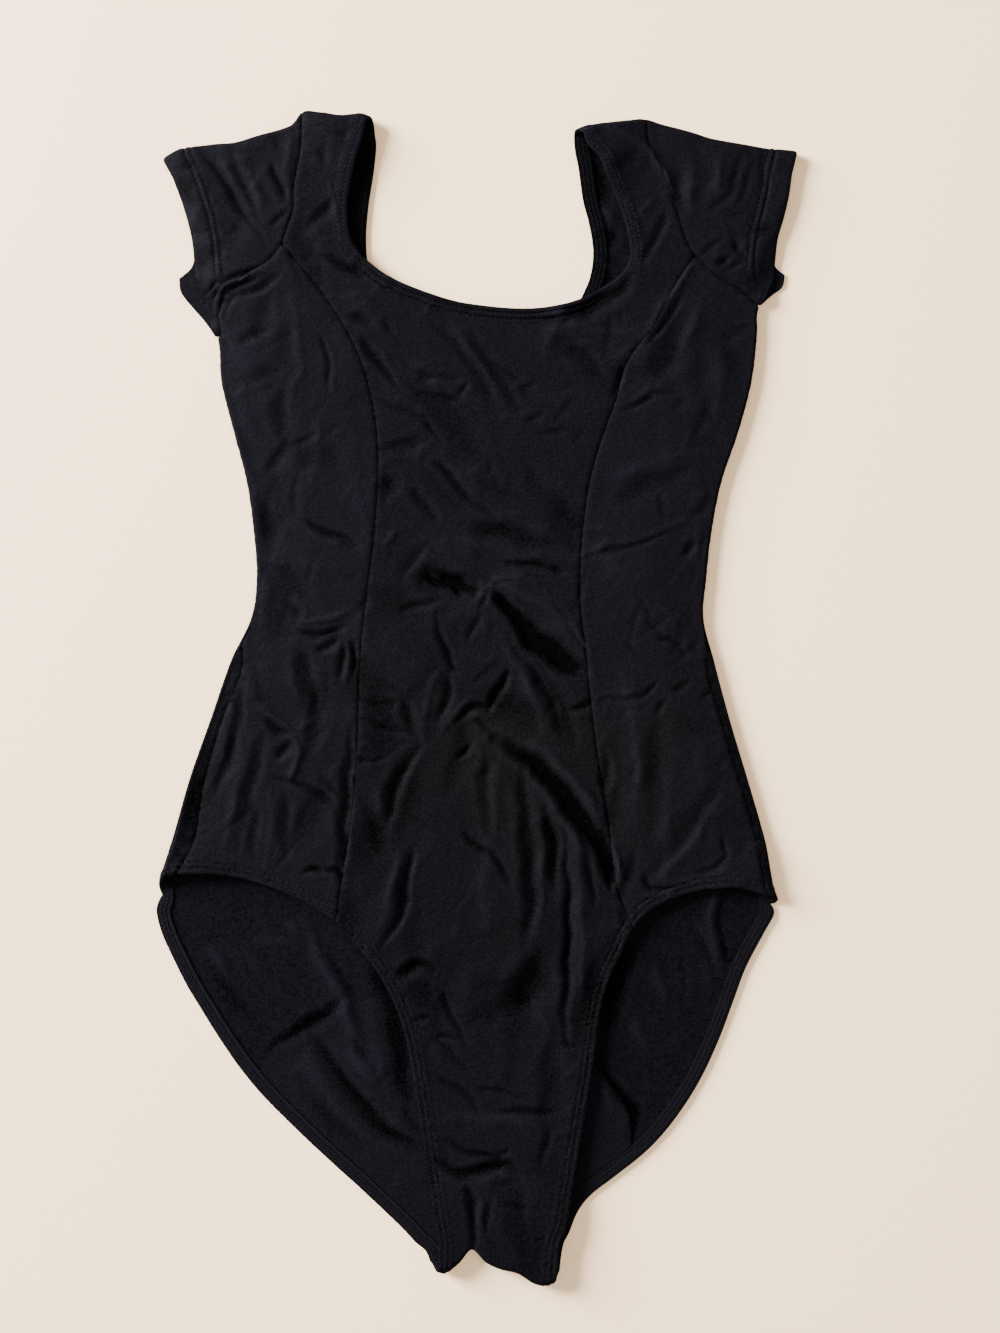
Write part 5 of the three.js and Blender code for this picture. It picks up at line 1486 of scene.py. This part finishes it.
back_leg_left = back_leg(BACK_LEG_LEFT, back_side_left_seam[-1], CROTCH_SEAM["left"])
back_leg_right = back_leg(BACK_LEG_RIGHT, back_side_right_seam[-1], CROTCH_SEAM["right"])
back_outline = joined(
    crotch_joint,
    back_leg_right[::-1],
    back_side_right_seam[::-1],
    back_arm_right[::-1],
    shoulder_right,
    back_neck,
    shoulder_left,
    back_arm_left,
    back_side_left_seam,
    back_leg_left,
)


def back_relief(x, y):
    """The back's relief: bands at its open edges, and a furrow beside each side seam's allowance."""
    relief = banded(distance_to(back_neck, x, y), NECK_BAND, ())
    for line in (back_leg_left, back_leg_right):
        relief += banded(distance_to(line, x, y), LEG_BAND, ())
    for line in (back_side_left_seam, back_side_right_seam):
        beside = distance_to(line, x, y)
        # The furrow also darkens the turned side strip, as painted shade.
        furrow = FURROW_DEPTH * np.exp(-(((beside - FURROW_PLACE) / FURROW_REACH) ** 2))
        relief += seamed(beside, y, 0.0) - furrow
    return relief


back_edges = (back_neck, back_leg_left, back_leg_right)
back = cut_piece(
    "back_panel",
    drawn_in(back_outline, SEAM_GAP / 2),
    [row for line in back_edges for row in rows_beside(line, BACK_BAND_ROWS)],
    BACK_GRID,
    BACK_LAID,
    back_relief,
    back_knit,
)
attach(back, "root")
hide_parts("back")
back_rows = []
for line in (back_neck[::-1], back_leg_left[::-1], back_leg_right):
    for by in BAND_STITCHES:
        row = moved_left(line, -by)
        back_rows.append((BACK_LAID, -OUTER_SKIN - back_relief(row[:, 0], row[:, 1]), row))
back_stitches = sewn("back_band_stitches", back_rows, pitch=2.9, length=2.1, width=0.5)


# The two cap sleeves. Each is one piece, folded over along its top, with a hem turned in and sewn with two
# rows. The front half is drawn down to the back half at the short underarm seam.
HEM_DEPTH = 16.0
HEM_STITCHES = (12.4, 15.6)
HEM_ROWS = (1.0, 11.6, 12.4, 13.2, 14.8, 15.6, 16.4)
SLEEVE_GRID = 1.7
UNDERARM_REACH = 14
UNDERARM_SHUT = 9
SLEEVES = {
    "left": {
        "front_cuff": (
            (-173.4, 297.5), (-168.7, 285.3), (-164.7, 272.7), (-162, 260.2), (-161, 249),
            (-160.2, 241.5),
        ),
        "front_under": ((-160.2, 241.5), (-157, 230), (-153.6, 219), (-149.5, 209.4)),
        "back_cuff": (
            (-173.2, 297), (-168.4, 284), (-164.2, 270), (-161.5, 257), (-162.4, 247),
            (-169.8, 240),
        ),
        "back_under": ((-169.8, 240), (-168.7, 231.7), (-161, 222), (-154.5, 214.5), (-149.6, 208.6)),
        "front_arm": arm_left,
        "back_arm": back_arm_left,
        "cuff_top": -178.4,
    },
    "right": {
        "front_cuff": (
            (180.3, 299), (178.4, 286), (175.6, 274), (172.3, 262.5), (171, 251.1), (170.6, 244),
        ),
        "front_under": ((170.6, 244), (168.5, 236), (163.4, 229.4)),
        "back_cuff": (
            (180, 298), (177.6, 284), (174.6, 271), (171.2, 259), (170.6, 248), (176.6, 242),
        ),
        "back_under": ((176.6, 242), (175.2, 235), (169.5, 230.6), (163.6, 228.2)),
        "front_arm": arm_right,
        "back_arm": back_arm_right,
        "cuff_top": 183.0,
    },
}


def sleeve_space(under):
    """The space between a sleeve's two halves, closing towards the underarm seam."""
    outer, inner = np.array(under[0]), np.array(under[-1])
    length = np.hypot(*(outer - inner))
    ux, uy = (outer - inner) / length

    def narrowed(x, y, space):
        along = (x - inner[0]) * ux + (y - inner[1]) * uy
        across = np.abs((y - inner[1]) * ux - (x - inner[0]) * uy)
        opened = np.maximum(eased(across, 0, UNDERARM_REACH), 1 - eased(along, 0, UNDERARM_SHUT))
        shut = OUTER_SKIN + INNER_SKIN + SEAM_GAP
        return shut + (space - shut) * opened

    return narrowed


def over_top(line):
    """Points of a sleeve's back half, on the pattern that runs on from the front half over the top fold."""
    start, _ = top_turn(line[:, 0])
    return np.stack([line[:, 0], 2 * start + 2 * TURN_SPAN - line[:, 1]], axis=1)


def hem_relief(cuff, seam):
    def relief(x, y):
        hem = banded(distance_to(cuff, x, y), HEM_DEPTH, HEM_STITCHES)
        return hem + seamed(distance_to(seam, x, y), y, 0.0)

    return relief


for hand, cut in SLEEVES.items():
    front_seam, _ = split_at(cut["front_arm"], cut["front_under"][-1])
    back_seam, _ = split_at(cut["back_arm"], cut["back_under"][-1])
    fold_start = float(top_turn(cut["cuff_top"])[0])
    cuff_fold = [(cut["cuff_top"], fold_start + 2 * TURN_SPAN), (cut["cuff_top"], fold_start)]
    outline = joined(
        front_seam[::-1],
        over_top(back_seam),
        over_top(curve([tuple(back_seam[-1]), *cut["back_under"][::-1][1:]], FINE)),
        over_top(curve(cut["back_cuff"][::-1], FINE)),
        evenly(cuff_fold, FINE),
        curve(cut["front_cuff"], FINE),
        curve([*cut["front_under"][:-1], tuple(front_seam[-1])], FINE),
    )
    if hand == "right":
        outline = outline[::-1]
    laid = {"top": CREASES, "on_top": True, "sleeve": sleeve_space(cut["front_under"])}
    long_cuff = evenly([*cuff_fold, *cut["front_cuff"]], FINE)
    relief = hem_relief(long_cuff, front_seam)
    sleeve = cut_piece(
        f"sleeve_{hand}_cap",
        drawn_in(outline, SEAM_GAP / 2),
        rows_beside(long_cuff, HEM_ROWS) + rows_beside(front_seam, SEAM_ROWS),
        SLEEVE_GRID,
        laid,
        relief,
        side_knit,
    )
    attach(sleeve, "root")
    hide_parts(f"sleeve_{hand}")
    hem_rows = [moved_left(long_cuff, by if hand == "left" else -by) for by in HEM_STITCHES]
    hem_rows = [row[is_inside(outline, row)] for row in hem_rows]
    hem_stitches = sewn(
        f"sleeve_{hand}_hem_stitches",
        [(laid, OUTER_SKIN + relief(row[:, 0], row[:, 1]), row) for row in hem_rows],
        pitch=2.6,
        length=1.9,
        width=0.55,
    )


# The elastic casings: the cloth is turned in round narrow elastic at the neck and at both legs, and each
# casing is one strip inside its edge, whose two ends meet at a seam. Their cut edges are overlocked.
CASING_START = 0.32
CASING_CLOTH = 0.6
CASING_SWELL = 0.22
ELASTIC_WIDTH = 6.5
CASING_WIDTH = 8.0
CASING_STEPS = (0.4, 1.2, 2.6, 4.2, 5.8, 7.0, CASING_WIDTH)
ZIGZAG_ROWS = (2.6, 4.9)
OVERLOCK_ROW = 7.2
casing_knit = knit_material("casing_tricot", 1.1, -0.3, 0.7, 0.3)


def end_to_end(rows, across):
    """The rows of several stretches, some rows to a stretch, joined end to end to one strip."""
    stretches = [np.stack(rows[i : i + across], axis=1) for i in range(0, len(rows), across)]
    return np.concatenate([stretches[0], *(stretch[1:] for stretch in stretches[1:])])


def casing(name, node, stretches, knit, yarn):
    """A strip along the inside of the edges. A stretch has how its piece lies, and its line."""
    upper, lower, flats = [], [], []
    for laid, line in stretches:
        inside = 1 if laid.get("starts_low") else -1
        for step in CASING_STEPS:
            row = moved_left(line, -inside * step)
            middle, _ = lie(row[:, 0], row[:, 1], **laid)
            inwards = square_to(row[:, 0], row[:, 1], **laid) * inside
            swell = CASING_SWELL * math.sin(math.pi * min(step / ELASTIC_WIDTH, 1.0))
            upper.append(middle + inwards * CASING_START)
            lower.append(middle + inwards * (CASING_START + CASING_CLOTH + swell))
            flats.append(row)
    count = len(CASING_STEPS)
    top, bottom, pattern = (end_to_end(rows, count) for rows in (upper, lower, flats))
    length = len(top)
    index = np.arange(length * count).reshape(length, count)
    a, b = index[:-1, :-1].ravel(), index[1:, :-1].ravel()
    c, d = index[1:, 1:].ravel(), index[:-1, 1:].ravel()
    triangles = np.concatenate([np.stack([a, b, c], axis=1), np.stack([a, c, d], axis=1)])
    rim = np.concatenate([index[:, 0], index[-1, 1:], index[-2::-1, -1], index[0, -2:0:-1]])
    piece = wall_mesh(
        name,
        top.reshape(-1, 3),
        bottom.reshape(-1, 3),
        triangles,
        rim,
        pattern.reshape(-1, 2),
        np.zeros(length * count),
        knit,
    )
    shell = bmesh.new()
    shell.from_mesh(piece.data)
    bmesh.ops.recalc_face_normals(shell, faces=shell.faces)
    shell.to_mesh(piece.data)
    shell.free()
    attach(piece, "root")
    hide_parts(node)
    inside_rows = [(laid, line) for laid, line in stretches if laid.get("starts_low")]
    top_of = CASING_START + CASING_CLOTH
    zigzag = sewn(
        f"{node}_zigzag",
        [(laid, top_of + 0.22, moved_left(line, -by)) for laid, line in inside_rows for by in ZIGZAG_ROWS],
        pitch=1.5,
        length=2.3,
        width=0.42,
        slant=0.75,
        yarn=yarn,
    )
    overlock = sewn(
        f"{node}_overlock",
        [(laid, top_of + 0.05, moved_left(line, -OVERLOCK_ROW)) for laid, line in inside_rows],
        pitch=1.0,
        length=2.5,
        width=0.42,
        slant=1.3,
        yarn=yarn,
    )


# Painted shade: the neck casing lies in the shade of the straps, so its knit and its thread are darker
# copies.
shaded_neck_casing_knit = knit_material("shaded_neck_casing_tricot", 0.42, -0.3, 0.7, 0.3)
SHADED_THREAD_DARKER = (0.0008, 0.0008, 0.0011, 1.0)
SHADED_THREAD_LIGHTER = (0.0020, 0.0019, 0.0026, 1.0)
shaded_thread = thread_material("shaded_black_thread", SHADED_THREAD_DARKER, SHADED_THREAD_LIGHTER)
casing(
    "neck_casing_strip",
    "neck_casing",
    [(CENTRE_LAID, front_neck[::-1]), (BACK_LAID, back_neck[::-1])],
    shaded_neck_casing_knit,
    shaded_thread,
)
casing(
    "leg_casing_strip_left",
    "leg_casing_left",
    [(BACK_LAID, back_leg_left[::-1]), (SIDE_LAID, leg_left_side), (CENTRE_LAID, leg_left_centre)],
    casing_knit,
    thread,
)
casing(
    "leg_casing_strip_right",
    "leg_casing_right",
    [(CENTRE_LAID, leg_right_centre[::-1]), (SIDE_LAID, leg_right_side[::-1]), (BACK_LAID, back_leg_right)],
    casing_knit,
    thread,
)


# The crotch lining is a second layer on the inside of the back, between the two leg casings. Its upper edge
# is cut and left free, a little off the cloth below.
LINING_EDGE = (
    (-124, -212.5), (-117.5, -200.5), (-104.6, -193), (-78, -177.5), (-45, -167), (-5, -164),
    (36, -178), (66, -206.5), (81.5, -225), (88.5, -240.5), (88.5, -256),
)
LINING_LIFT = 0.85
LINING_FOOT = 7
LINING_TRIM = 0.6
LINING_LAID = {"top": CREASES, "low": LOW_CREASES_AND_SHADE, "starts_low": True, "lift": LINING_LIFT}


def lining_foot(x):
    """Where the lining ends, a little above the fold under the crotch."""
    return crotch_turn(x)[0] + LINING_FOOT


def beside_casing(line, width, top):
    inner = moved_left(line, width)
    _, rest = split_at(inner, top)
    return evenly(rest[rest[:, 1] > lining_foot(rest[:, 0])], FINE)


lining_left = beside_casing(back_leg_left, CASING_WIDTH, LINING_EDGE[0])
lining_right = beside_casing(back_leg_right, -CASING_WIDTH, LINING_EDGE[-1])
lining_edge = curve([tuple(lining_right[0]), *LINING_EDGE[::-1][1:-1], tuple(lining_left[0])], FINE)
lining_outline = joined(
    lining_left,
    along_fold(lining_left[-1][0], lining_right[-1][0], lining_foot),
    lining_right[::-1],
    lining_edge,
)


def lining_relief(x, y):
    return np.zeros_like(x)


lining = cut_piece(
    "crotch_lining",
    drawn_in(lining_outline, LINING_TRIM),
    [],
    BACK_GRID,
    LINING_LAID,
    lining_relief,
    casing_knit,
)
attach(lining, "root")
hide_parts("gusset_lining")

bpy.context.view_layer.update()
